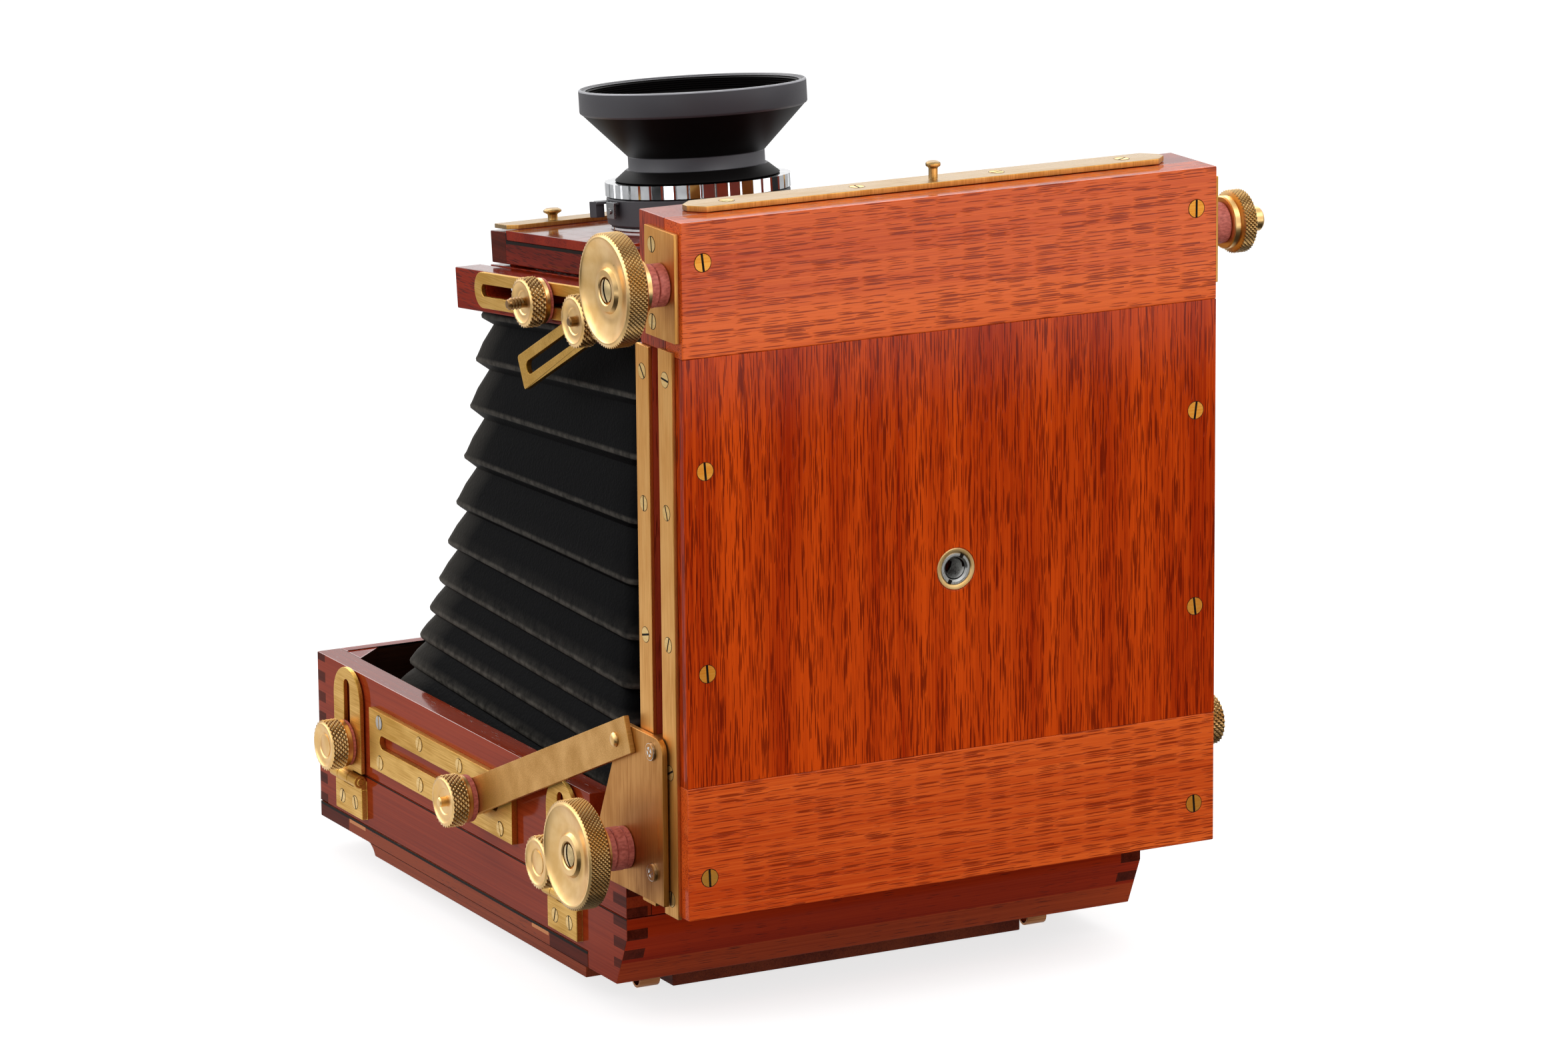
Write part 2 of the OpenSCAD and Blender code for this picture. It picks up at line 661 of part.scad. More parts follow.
// Slotted brass plates that the struts clamp to.
module slot_plates() color(brass) at_home() both_sides() {
  side_plate(side_x, hw + plate_t) difference() {
    translate([119.9, -5.5]) square([107.6, 20.4]);
    translate([174.9, strut_stud_z]) slot_2d(89.7, 4.5);
  }
  for (y = [128.4, 158.3, 188.5, 219.5], z = [-2.2, 11.4])
    bar_x(2.1, hw + plate_t, hw + plate_t + 0.15, y, z);
}

// Brass ears that hang the frame on the rear shaft.
module pivot_ears() color(brass) at_home() both_sides() {
  box([60, frame_y0 - 2, -8], [75, frame_y0, step_z - 2]);
  difference() {
    union() {
      box([72, rear_y, rear_z - 5], [75, frame_y0, rear_z + 5]);
      box([72, rear_y + 1, -8], [75, frame_y0, rear_z]);
      bar_x(5, 72, 75, rear_y, rear_z);
    }
    bar_x(bore_r, 71, 76, rear_y, rear_z);
  }
}

// Struts

module strut() {
  difference() {
    side_plate(strut_in, strut_out) translate([rivet_y, rivet_z]) rotate(strut_a) {
      translate([-9, -5.8]) square([strut_l + 9, 11.6]);
      translate([strut_l, 0]) circle(d = 11.6);
    }
    bar_x(2.26, strut_in - 1, strut_out + 1, rivet_y, rivet_z);
  }
  bar_x(1.5, side_x + 0.4, strut_in, strut_stud_y, strut_stud_z);
  bar_x(5.6, hw + plate_t + 0.25, strut_in, strut_stud_y, strut_stud_z);
}

module strut_left() color(brass) at_home() mirror([1, 0, 0]) strut();
module strut_right() color(brass) at_home() strut();

module strut_knob() translate([strut_out + 0.05, strut_stud_y, strut_stud_z]) clamp_knob(1.8, 1.7, 5.9, clamp_knob_r, 1.4);
module strut_knob_left() color(brass) at_home() mirror([1, 0, 0]) strut_knob();
module strut_knob_right() color(brass) at_home() strut_knob();

// Back

// One pair of slotted links with the barrels of their hinges.
module links() for (y = [link_near_y, link_far_y]) {
  difference() {
    side_plate(hw, hw + plate_t) union() {
      translate([y - link_w / 2, pin_z + 2.6]) square([link_w, 24.2 - link_w / 2 - pin_z - 2.6]);
      translate([y, 24.2 - link_w / 2]) circle(d = link_w);
    }
    side_plate(hw - 1, hw + 3) translate([y, (20.3 - 4) / 2]) rotate(90) slot_2d(24.3, 4.6);
  }
  difference() {
    union() {
      bar_y(barrel_r, y - 3.6, y + 3.6, barrel_x, pin_z);
      box([hw, y - 3.6, pin_z], [hw + plate_t, y + 3.6, pin_z + 2.6]);
    }
    bar_y(1.16, y - 4, y + 4, barrel_x, pin_z);
  }
}

module links_left() color(brass) at_home() mirror([1, 0, 0]) links();
module links_right() color(brass) at_home() links();

module link_knob(y) {
  bar_x(link_stud_r, side_x - 5.5, hw + plate_t + 0.1, y, link_stud_z);
  translate([hw + plate_t + 0.05, y, link_stud_z]) clamp_knob(1.1, 1.9, 5.8, clamp_knob_r, 0.1);
}

module link_knob_near_left() color(brass) at_home() mirror([1, 0, 0]) link_knob(link_near_y);
module link_knob_far_left() color(brass) at_home() mirror([1, 0, 0]) link_knob(link_far_y);
module link_knob_near_right() color(brass) at_home() link_knob(link_near_y);
module link_knob_far_right() color(brass) at_home() link_knob(link_far_y);

// Lower frame with the outer knuckles, pins and plates of the four link hinges.
module back_frame() {
  color(dark_wood) at_home() {
    ring([-side_x, frame_y0, -27.7], [side_x, frame_y1, seam_z - 0.2], [-72, 98], [72, 245]);
    difference() {
      box([-side_x, frame_y0, -33.2], [side_x, back_y - 0.2, -27.7]);
      side_plate(-side_x - 1, side_x + 1) polygon([[frame_y0 - 1, -34.2], [frame_y0 - 1, -24.6], [51, -33.2], [51, -34.2]]);
    }
  }
  color(brass) at_home() both_sides() for (y = [link_near_y, link_far_y]) {
    box([side_x, y - link_w / 2, -25.5], [hw + plate_t, y + link_w / 2, pin_z - 3]);
    for (k = [-1, 1]) {
      bar_y(barrel_r, y + k * 7 - 3.2, y + k * 7 + 3.2, barrel_x, pin_z);
      box([side_x, y + k * 7 - 3.2, pin_z - 3], [hw + plate_t, y + k * 7 + 3.2, pin_z]);
    }
    bar_y(1.1, y - 10.4, y + 10.4, barrel_x, pin_z);
  }
}

// Reversible back: a framed board with two thick side rails below it.
module back_panel() color(mahogany) at_home() {
  ring([-side_x, back_y, -33.2], [side_x, frame_y1, -27.9], [-51, 98], [51, 225]);
  both_sides() difference() {
    box([64, 73, -37], [91, 234, -33.2]);
    bar_x(6, 60, 95, 236, -39.5);
  }
}

// Leaf springs along both sides, each rolled at its near end.
module back_springs() color(brass) at_home() both_sides() {
  box([66, 78, -37.9], [73, 226, -37]);
  difference() {
    union() {
      bar_x(3.1, 66, 73, 74.6, -40.2);
      box([66, 74.6, -37.9], [73, 78.5, -37.1]);
    }
    bar_x(2.3, 65, 74, 74.6, -40.2);
  }
}

// Ground-glass frame that lifts off the back to take a film holder.
module glass_frame() color(mahogany) at_home() difference() {
  ring([-62.3, 70, -43.3], [62.3, 250, -33.4], [-50, 100], [50, 223]);
  box([-54, 96, -37], [54, 227, -30]);
}

module focus_glass() color("#cfd8d6") at_home() box([-53.9, 96.1, -37], [53.9, 226.9, -34.9]);

bed_panel();
bed_cleats();
bed_rails();
side_brasses();
rear_racks();
tripod_bush();
bush_reducer();
bed_screws();
rail_screws();
front_shaft();
front_knob();
front_washers();
front_lock_knob();
slide_board();
end_plate();
slide_racks();
hinge_feet();
stay_left();
stay_right();
stay_knob_left();
stay_knob_right();
uprights();
upright_plates();
stage_board();
lens_frame();
lens_board();
board_catch();
rise_knob_left();
rise_knob_right();
shutter_body();
shutter_ring();
aperture_lever();
release_lever();
lens_barrel();
front_glass();
bellows();
carriage_brackets();
rear_shaft();
rear_knob();
rear_washers();
rear_lock_knob();
frame_sides();
frame_ends();
slot_plates();
pivot_ears();
strut_left();
strut_right();
strut_knob_left();
strut_knob_right();
links_left();
links_right();
link_knob_near_left();
link_knob_far_left();
link_knob_near_right();
link_knob_far_right();
back_frame();
back_panel();
back_springs();
glass_frame();
focus_glass();
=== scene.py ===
import json
import math
import random

import bmesh
import bpy
from mathutils import Matrix, Vector

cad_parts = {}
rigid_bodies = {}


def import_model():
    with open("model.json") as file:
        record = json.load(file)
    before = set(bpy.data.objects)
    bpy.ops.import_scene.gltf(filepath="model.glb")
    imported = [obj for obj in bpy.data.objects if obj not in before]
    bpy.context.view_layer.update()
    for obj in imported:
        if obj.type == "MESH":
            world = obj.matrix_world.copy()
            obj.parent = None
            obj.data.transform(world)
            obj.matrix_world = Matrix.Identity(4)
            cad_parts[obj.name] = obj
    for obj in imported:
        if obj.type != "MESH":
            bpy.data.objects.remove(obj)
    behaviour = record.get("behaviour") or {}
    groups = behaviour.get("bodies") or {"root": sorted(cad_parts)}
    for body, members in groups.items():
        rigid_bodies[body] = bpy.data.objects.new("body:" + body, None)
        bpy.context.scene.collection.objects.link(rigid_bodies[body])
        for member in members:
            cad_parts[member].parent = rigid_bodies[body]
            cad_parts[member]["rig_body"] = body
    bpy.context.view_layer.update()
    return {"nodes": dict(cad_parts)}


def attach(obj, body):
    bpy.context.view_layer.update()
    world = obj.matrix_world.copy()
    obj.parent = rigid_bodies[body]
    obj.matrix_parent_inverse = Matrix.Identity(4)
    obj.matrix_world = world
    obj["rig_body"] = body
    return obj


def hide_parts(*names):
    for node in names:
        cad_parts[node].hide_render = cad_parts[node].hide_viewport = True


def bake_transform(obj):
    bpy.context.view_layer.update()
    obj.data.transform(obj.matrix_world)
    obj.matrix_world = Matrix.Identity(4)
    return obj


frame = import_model()

# The view: a long lens looks at the camera from its left front and a little from above, with the
# camera standing on its back. Points in this file are in millimetres from the middle of the bed's
# outer face at its foot, and at() turns them into metres in the model's own frame.
mm = 0.001
bed_foot = Vector((0, -133.1, 43.3))


def at(x, y, z):
    return (Vector((x, y, z)) + bed_foot) * mm


photo_width = 2352
focal_px = 10500
turn = math.radians(-27.701)
rise = math.radians(13.258)
roll = math.radians(-0.520)
towards = Vector((math.sin(turn) * math.cos(rise), -math.cos(turn) * math.cos(rise), math.sin(rise)))
level = Vector((math.cos(turn), math.sin(turn), 0))
upward = towards.cross(level)
right = level * math.cos(roll) + upward * math.sin(roll)
upward = upward * math.cos(roll) - level * math.sin(roll)
eye = right * 28.505 + upward * 120.05 + towards * 2102.3
lens_data = bpy.data.cameras.new("view")
lens_data.sensor_width = 36
lens_data.lens = 36 * focal_px / photo_width
lens_data.clip_end = 50
viewer = bpy.data.objects.new("view", lens_data)
bpy.context.scene.collection.objects.link(viewer)
spot = at(eye.x - 91.9, eye.y, eye.z)
viewer.matrix_world = Matrix((right, upward, towards)).transposed().to_4x4()
viewer.matrix_world.translation = spot
bpy.context.scene.camera = viewer
bpy.context.scene.view_settings.view_transform = "Standard"

# The studio: a white table and a white tent behind it. The side the viewer stands on is dim, so
# polished wood and brass that face it keep their deep colour, and what faces away goes pale.


def linear(code):
    """An sRGB hex colour as the linear numbers that a node takes."""
    parts = [int(code[i : i + 2], 16) / 255 for i in (1, 3, 5)]
    return [c / 12.92 if c <= 0.04045 else ((c + 0.055) / 1.055) ** 2.4 for c in parts] + [1]


def add(tree, kind, links=(), **settings):
    """Adds a node with its settings. Links gives an input's value, or the output that feeds it."""
    made = tree.nodes.new(kind)
    for name, value in settings.items():
        setattr(made, name, value)
    for socket, value in dict(links).items():
        if isinstance(value, bpy.types.NodeSocket):
            tree.links.new(value, made.inputs[socket])
        else:
            made.inputs[socket].default_value = value
    return made


def ranged(tree, value, low, high, to_low=0.0, to_high=1.0):
    """Turns low to high of a value into another range, and holds it there."""
    return add(tree, "ShaderNodeMapRange", {"Value": value, "From Min": low, "From Max": high,
                                            "To Min": to_low, "To Max": to_high}).outputs[0]


def reckoned(tree, operation, *values):
    """The result of a sum on numbers and outputs."""
    return add(tree, "ShaderNodeMath", dict(enumerate(values)), operation=operation).outputs[0]


def empty_tree(owner):
    owner.use_nodes = True
    owner.node_tree.nodes.clear()
    return owner.node_tree


tent = bpy.data.worlds.new("tent")
bpy.context.scene.world = tent
tree = empty_tree(tent)
path = add(tree, "ShaderNodeLightPath")
heading = add(tree, "ShaderNodeTexCoord").outputs["Generated"]
across = add(tree, "ShaderNodeSeparateXYZ", {0: heading})
to_viewer = (-0.4649, -0.8854, 0)
viewer_side = add(tree, "ShaderNodeVectorMath", {0: heading, 1: to_viewer}, operation="DOT_PRODUCT")
pale_side = ranged(tree, viewer_side.outputs["Value"], 0.93, 0.72, 0.06)
mirrored = reckoned(tree, "MAXIMUM", path.outputs["Is Glossy Ray"], path.outputs["Is Transmission Ray"])
back_light = ranged(tree, across.outputs["Y"], 0.3, 0.8, 0, 3)
low_sky = ranged(tree, across.outputs["Z"], 0.29, 0.38)
glare = reckoned(tree, "MULTIPLY_ADD", back_light, low_sky, pale_side)
ambient = 0.85
lit = add(tree, "ShaderNodeMix", {0: mirrored, 2: ambient, 3: glare})
shown = add(tree, "ShaderNodeMix", {0: path.outputs["Is Camera Ray"], 2: lit.outputs[0], 3: 1.0})
glow = add(tree, "ShaderNodeBackground", {"Color": (1, 1, 1, 1), "Strength": shown.outputs[0]})
add(tree, "ShaderNodeOutputWorld", {"Surface": glow.outputs[0]})


def softbox(name, place, aim, wide, high, watts):
    """A square lamp at place that shines at aim, both in metres."""
    lamp = bpy.data.lights.new(name, "AREA")
    lamp.shape = "RECTANGLE"
    lamp.size = wide
    lamp.size_y = high
    lamp.energy = watts
    holder = bpy.data.objects.new(name, lamp)
    bpy.context.scene.collection.objects.link(holder)
    holder.location = place
    holder.rotation_euler = (Vector(aim) - Vector(place)).to_track_quat("-Z", "Y").to_euler()
    holder.visible_camera = False


softbox("top_front", (0.3, -1.1, 1.2), (0, -0.1, 0.15), 1.2, 0.7, 8)
softbox("left", (-1.3, 0.3, 0.8), (0, 0, 0.12), 0.9, 0.9, 4)

table_half = 6
table_mesh = bpy.data.meshes.new("table")
bm = bmesh.new()
bmesh.ops.create_grid(bm, x_segments=1, y_segments=1, size=table_half)
bmesh.ops.translate(bm, verts=bm.verts, vec=(0, 0, -0.4 * mm))
bm.to_mesh(table_mesh)
bm.free()
table = bpy.data.objects.new("table", table_mesh)
bpy.context.scene.collection.objects.link(table)
white = bpy.data.materials.new("white_table")
tree = empty_tree(white)
path = add(tree, "ShaderNodeLightPath")
matt = add(tree, "ShaderNodeBsdfDiffuse", {"Color": (0.45, 0.44, 0.44, 1)})
lifted = reckoned(tree, "MULTIPLY", path.outputs["Is Camera Ray"], 0.74)
lift = add(tree, "ShaderNodeEmission", {"Strength": lifted})
both = add(tree, "ShaderNodeAddShader", {0: matt.outputs[0], 1: lift.outputs[0]})
spot_on_table = add(tree, "ShaderNodeTexCoord").outputs["Object"]
away = add(tree, "ShaderNodeVectorMath", {0: spot_on_table}, operation="LENGTH").outputs["Value"]
fade = ranged(tree, away, 0.3, 0.9, 0.95, 0.55)
depth_on_table = add(tree, "ShaderNodeSeparateXYZ", {0: spot_on_table}).outputs["Y"]
behind = ranged(tree, depth_on_table, -0.13, 0.02, 0.04)
far_front = ranged(tree, depth_on_table, -0.92, -1.12, 0, 2.4)
shine = reckoned(tree, "MULTIPLY_ADD", fade, behind, far_front)
mirrored_table = add(tree, "ShaderNodeEmission", {"Strength": shine})
either = add(tree, "ShaderNodeMixShader", {0: path.outputs["Is Glossy Ray"], 1: both.outputs[0],
                                           2: mirrored_table.outputs[0]})
add(tree, "ShaderNodeOutputMaterial", {"Surface": either.outputs[0]})
table.data.materials.append(white)

# The bed: a flat board with cross-grain cleats at both ends, all of lacquered mahogany. The cleats
# are tongued on, so their grain runs across, and eight brass screws hold the rails from outside.


def finish(name, sockets):
    """A node material with one Principled shader whose own sockets are set."""
    made = bpy.data.materials.new(name)
    tree = empty_tree(made)
    shader = add(tree, "ShaderNodeBsdfPrincipled", sockets)
    add(tree, "ShaderNodeOutputMaterial", {"Surface": shader.outputs[0]})
    return made, tree, shader


def stretched(tree, grain, cell, length):
    """Object coordinates scaled so that one unit is cell mm across the grain and length mm along it."""
    where = add(tree, "ShaderNodeTexCoord").outputs["Object"]
    scale = [1 / (cell * mm)] * 3
    scale["XYZ".index(grain)] = 1 / (length * mm)
    return add(tree, "ShaderNodeMapping", {"Vector": where, "Scale": scale}).outputs[0]


def noise(tree, grain, cell, length, detail=2.0, roughness=0.5):
    """Soft noise, cell mm across the grain and length mm along it."""
    where = stretched(tree, grain, cell, length)
    return add(tree, "ShaderNodeTexNoise", {"Vector": where, "Scale": 1, "Detail": detail,
                                            "Roughness": roughness}).outputs[0]


def mixed(tree, share, none, full):
    """A colour that turns into another with the share. Each is a hex code or an output."""
    none, full = [linear(c) if isinstance(c, str) else c for c in (none, full)]
    return add(tree, "ShaderNodeMix", {0: share, 6: none, 7: full}, data_type="RGBA").outputs[2]


def bump(tree, shader, height, strength, depth, sockets=("Normal",), **settings):
    """Fine relief of depth mm on a shader."""
    relief = add(tree, "ShaderNodeBump", {"Height": height, "Strength": strength, "Distance": depth * mm},
                 **settings)
    for socket in sockets:
        tree.links.new(relief.outputs[0], shader.inputs[socket])


def wood(name, grain, light, dark, pore, pore_length, pore_size, gloss, figure=16, rubbed=0.45):
    """Mahogany under lacquer: slow colour bands, fine streaks, and open pores as short dark dashes.
    A pore is about 0.3 mm wide and pore_length mm long. The lacquer is thickest on faces that lay
    upwards when it was poured, and rubbed down to a share of that on the others."""
    made, tree, shader = finish(
        name, {"Roughness": 0.6, "IOR": 1.5, "Specular IOR Level": 0.0, "Coat Roughness": 0.08}
    )
    faced = add(tree, "ShaderNodeTexCoord").outputs["Normal"]
    upward = add(tree, "ShaderNodeSeparateXYZ", {0: faced}).outputs["Z"]
    tree.links.new(ranged(tree, upward, 0.5, 0.9, gloss * rubbed, gloss), shader.inputs["Coat Weight"])
    bands = noise(tree, grain, figure, figure * 20)
    streaks = noise(tree, grain, 0.6, 110, 4, 0.75)
    tone = ranged(tree, reckoned(tree, "ADD", bands, streaks), 0.78, 1.2)
    where = stretched(tree, grain, 0.34, pore_length * 1.7)
    pores = add(tree, "ShaderNodeTexVoronoi", {"Vector": where, "Scale": 1})
    sizes = add(tree, "ShaderNodeSeparateXYZ", {0: pores.outputs["Color"]})
    crowd = reckoned(tree, "ADD", sizes.outputs[0], noise(tree, grain, 3.5, 24, 1))
    limit = ranged(tree, crowd, 0.55, 1.45, -0.05, pore_size * 1.6)
    inside = reckoned(tree, "SUBTRACT", limit, pores.outputs["Distance"])
    depth = ranged(tree, inside, 0, 0.08, 0, 0.8)
    base = mixed(tree, tone, dark, light)
    tree.links.new(mixed(tree, depth, base, pore), shader.inputs["Base Color"])
    bump(tree, shader, depth, 0.5, 0.05, ("Normal", "Coat Normal"), invert=True)
    return made


def piece(name, bm, finishes, body, sharp=28):
    """A finished object from a bmesh, riding on a body. Edges sharper than the angle stay crisp."""
    mesh = bpy.data.meshes.new(name)
    bm.to_mesh(mesh)
    bm.free()
    mesh.polygons.foreach_set("use_smooth", [True] * len(mesh.polygons))
    mesh.set_sharp_from_angle(angle=math.radians(sharp))
    for material in finishes if isinstance(finishes, (list, tuple)) else [finishes]:
        mesh.materials.append(material)
    made = bpy.data.objects.new(name, mesh)
    bpy.context.scene.collection.objects.link(made)
    if body:
        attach(made, body)
    return made


def merged(node):
    """The node's mesh as a bmesh with its triangles joined and its flat faces made whole."""
    bm = bmesh.new()
    bm.from_mesh(frame["nodes"][node].data)
    bmesh.ops.remove_doubles(bm, verts=bm.verts, dist=1e-6)
    bmesh.ops.dissolve_limit(
        bm, angle_limit=math.radians(1), verts=bm.verts, edges=bm.edges, use_dissolve_boundaries=False
    )
    for face in bm.faces:
        face.material_index = 0
    return bm


def eased(bm, edge):
    """Bevels every edge that turns more than 35 degrees by edge mm, in two steps."""
    crisp = [e for e in bm.edges if len(e.link_faces) == 2 and e.calc_face_angle(0) > math.radians(35)]
    bmesh.ops.bevel(
        bm, geom=crisp, offset=edge * mm, offset_type="OFFSET", affect="EDGES", segments=2,
        profile=0.5, material=-1, clamp_overlap=False,
    )
    return bm


def dressed(node, edge, finishes, paint=None):
    """Stands for a node: the same shape with eased edges and its real finish, on the node's body.
    Paint marks the faces that get another of the finishes."""
    bm = merged(node)
    if paint:
        paint(bm)
    eased(bm, edge)
    made = piece(node + ".dressed", bm, finishes, frame["nodes"][node]["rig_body"])
    made.modifiers.new("flat_faces", "WEIGHTED_NORMAL").keep_sharp = True
    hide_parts(node)
    return made


cleat_wood = wood("mahogany_cross_grain", "X", "#e06426", "#b83e12", "#7a2008", 5, 0.42, 0.8, 26)
panel_wood = wood("mahogany_board", "Z", "#cc480c", "#962404", "#5e1004", 6, 0.44, 0.8, 9)
dressed("bed_cleats", 0.35, cleat_wood)
dressed("bed_panel", 0.2, panel_wood)
rail_wood = wood("mahogany_rail", "Z", "#a8452c", "#862c1a", "#4c140b", 5, 0.3, 0.9)
dressed("bed_rails", 0.3, rail_wood)
dressed("slide_board", 0.3, rail_wood)

# Brass fittings: strips along the rails and plates round the front shaft, cut from hard sheet,
# satin finished and lightly tarnished. Slotted countersunk screws hold them.


def brass(name, base, deep, brushed, rough=0.3, spots=0.72):
    """Satin brass sheet: fine brushing along one axis, slow changes of tone, and small dark spots."""
    made, tree, shader = finish(name, {"Metallic": 1, "Roughness": rough})
    lines = noise(tree, brushed, 0.35, 14)
    tone = reckoned(tree, "ADD", noise(tree, brushed, 9, 20, 3), lines)
    sheet = mixed(tree, ranged(tree, tone, 0.75, 1.22), deep, base)
    grit = noise(tree, brushed, 1.1, 1.3, 4, 0.65)
    stained = mixed(tree, ranged(tree, grit, spots, spots + 0.05, 0, 0.7), sheet, "#4a2f12")
    tree.links.new(stained, shader.inputs["Base Color"])
    wear_and_sheen = ranged(tree, tone, 0.7, 1.3, rough + 0.12, rough - 0.06)
    tree.links.new(wear_and_sheen, shader.inputs["Roughness"])
    bump(tree, shader, lines, 0.25, 0.02)
    return made


strip_brass = brass("brass_strip", "#e2aa5e", "#c98f46", "Z", 0.42, 0.75)
plate_brass = brass("brass_plate", "#e2b45e", "#bd8e38", "Y", 0.4)
dark_brass = brass("brass_bracket", "#c88f48", "#ab7230", "Z", 0.42, 0.76)
# Painted shadow: a flat near-black put in screw slots, round screw heads, in the bush's driver slots and
# along gaps and seams, where there is only shade.
shadow_black = finish("painted_shadow_black", {"Base Color": linear("#140d08"), "Roughness": 0.6,
                                    "Specular IOR Level": 0.1})[0]
side_finish = {"side_brasses": strip_brass, "carriage_brackets": dark_brass, "slot_plates": plate_brass}


def verts_of(geom):
    return [g for g in geom if isinstance(g, bmesh.types.BMVert)]


def heads_of(name, heads, radius, finishes, body, proud=0.15, cross=False, dome=0.0):
    """A group of screw heads. Each is (point, direction that it faces, angle of its slot). The slot and a
    thin disc round each head get the second finish, a painted shadow black.
    """
    whole = bmesh.new()
    reach = radius * mm
    half = reach * (0.12 if cross else 0.14)
    for point, look, angle in heads:
        bm = bmesh.new()
        bmesh.ops.create_circle(bm, cap_ends=True, segments=24, radius=reach)
        cap = bm.faces[:]
        skirt = bmesh.ops.extrude_edge_only(bm, edges=bm.edges[:])["geom"]
        bmesh.ops.translate(bm, verts=verts_of(skirt), vec=(0, 0, -(proud + 0.3) * mm))
        bmesh.ops.contextual_create(bm, geom=[e for e in bm.edges if e.is_boundary])
        if cross:
            bmesh.ops.inset_region(bm, faces=cap, thickness=0.4 * reach)
        rings = []
        for step in range(3 if dome else 0):
            rings += bmesh.ops.inset_region(bm, faces=cap, thickness=0.25 * reach)["faces"]
        top = cap + rings
        middle = top + list({e for f in top for e in f.edges}) + list({v for f in top for v in f.verts})
        for axis in ((1, 0, 0), (0, 1, 0))[: 2 if cross else 1]:
            for side in (-half, half):
                cut = bmesh.ops.bisect_plane(bm, geom=middle, plane_co=Vector(axis) * side, plane_no=axis)
                middle = cut["geom"]
        sunk = []
        for f in middle:
            if isinstance(f, bmesh.types.BMFace):
                c = f.calc_center_median()
                if abs(c.x) < half or (cross and abs(c.y) < half):
                    sunk.append(f)
        for v in {v for g in middle if isinstance(g, bmesh.types.BMFace) for v in g.verts}:
            v.co.z += dome * mm * (1 - (v.co.length / reach) ** 2)
        rims = list({e for f in sunk for e in f.edges})
        # Painted shadow: the slot's floor and walls are black.
        down = bmesh.ops.extrude_face_region(bm, geom=sunk + rims)["geom"]
        low = verts_of(down)
        bmesh.ops.translate(bm, verts=low, vec=(0, 0, -min(0.3 * reach, (proud + 0.25) * mm)))
        for f in {f for v in low for f in v.link_faces}:
            f.material_index = 1
        # Painted shadow: a thin black disc round the head, flush with the surface, for the dark outline of
        # its recess.
        disc = bmesh.ops.create_circle(bm, cap_ends=True, segments=24, radius=reach + 0.18 * mm)["verts"]
        bmesh.ops.translate(bm, verts=disc, vec=(0, 0, -(proud + 0.3) * mm))
        raised = bmesh.ops.extrude_face_region(bm, geom=list(disc[0].link_faces))["geom"]
        upper = verts_of(raised)
        bmesh.ops.translate(bm, verts=upper, vec=(0, 0, 0.315 * mm))
        for f in {f for v in upper for f in v.link_faces}:
            f.material_index = 1
        bmesh.ops.recalc_face_normals(bm, faces=bm.faces)
        facing = Vector(look).to_track_quat("Z", "Y").to_matrix().to_4x4()
        place = Matrix.Translation(at(*point) + Vector(look).normalized() * proud * mm) @ facing
        bmesh.ops.transform(bm, matrix=place @ Matrix.Rotation(math.radians(angle), 4, "Z"), verts=bm.verts)
        scrap = bpy.data.meshes.new("scrap")
        bm.to_mesh(scrap)
        bm.free()
        whole.from_mesh(scrap)
        bpy.data.meshes.remove(scrap)
    return piece(name, whole, [finishes, shadow_black], body)


bed_half = 91.9
rivet_y = 37.7
rivet_z = 48.7
strut_face = bed_half + 5.35


def slim_rivets(bm):
    """Draws in the heads of the struts' rivets to their real size."""
    middle = at(0, rivet_y, rivet_z)
    for v in bm.verts:
        if abs(v.co.x) > (strut_face + 0.02) * mm:
            v.co.y = middle.y + (v.co.y - middle.y) * 0.6
            v.co.z = middle.z + (v.co.z - middle.z) * 0.6


for node, metal in side_finish.items():
    dressed(node, 0.2, metal, slim_rivets if node == "carriage_brackets" else None)
dice = random.Random(5)
screw_brass = brass("brass_screw", "#f6b04c", "#ee9a34", "X", 0.5, 0.8)
bed_screws = heads_of(
    "bed_screws.dressed",
    [((x, 0, z), (0, -1, 0), dice.uniform(-8, 8)) for x in (-84.7, 84.7) for z in (12.7, 76, 138, 201)],
    2.7, screw_brass, "bed", 0.02,
)
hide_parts("bed_screws")
strip_face = bed_half + 1.3
plate_face = bed_half + 1.5
rail_heads = []
for side in (-1, 1):
    look = (side, 0, 0)
    for y, z in [(y, z) for y in (9, 24) for z in (5, 44.4, 84, 124.5, 165)]:
        rail_heads.append(((side * strip_face, y, z), look, dice.uniform(0, 180)))
    for z in (181.4, 204.7):
        rail_heads.append(((side * plate_face, 16.3, z), look, dice.uniform(-10, 10)))
light_brass = brass("brass_screw_bright", "#ecca88", "#d8b06a", "Y", 0.4, 0.8)
rail_screws = heads_of("rail_screws.dressed", rail_heads, 2.3, light_brass, "bed", 0.08)
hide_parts("rail_screws")

# The tripod bush: a turned brass bush let into the board, with a steel reducing insert that has two
# driver slots and a coarse thread.


def facing(point, look):
    """The matrix that puts a piece made round +z at a point, looking along a direction."""
    return Matrix.Translation(at(*point)) @ Vector(look).to_track_quat("Z", "Y").to_matrix().to_4x4()


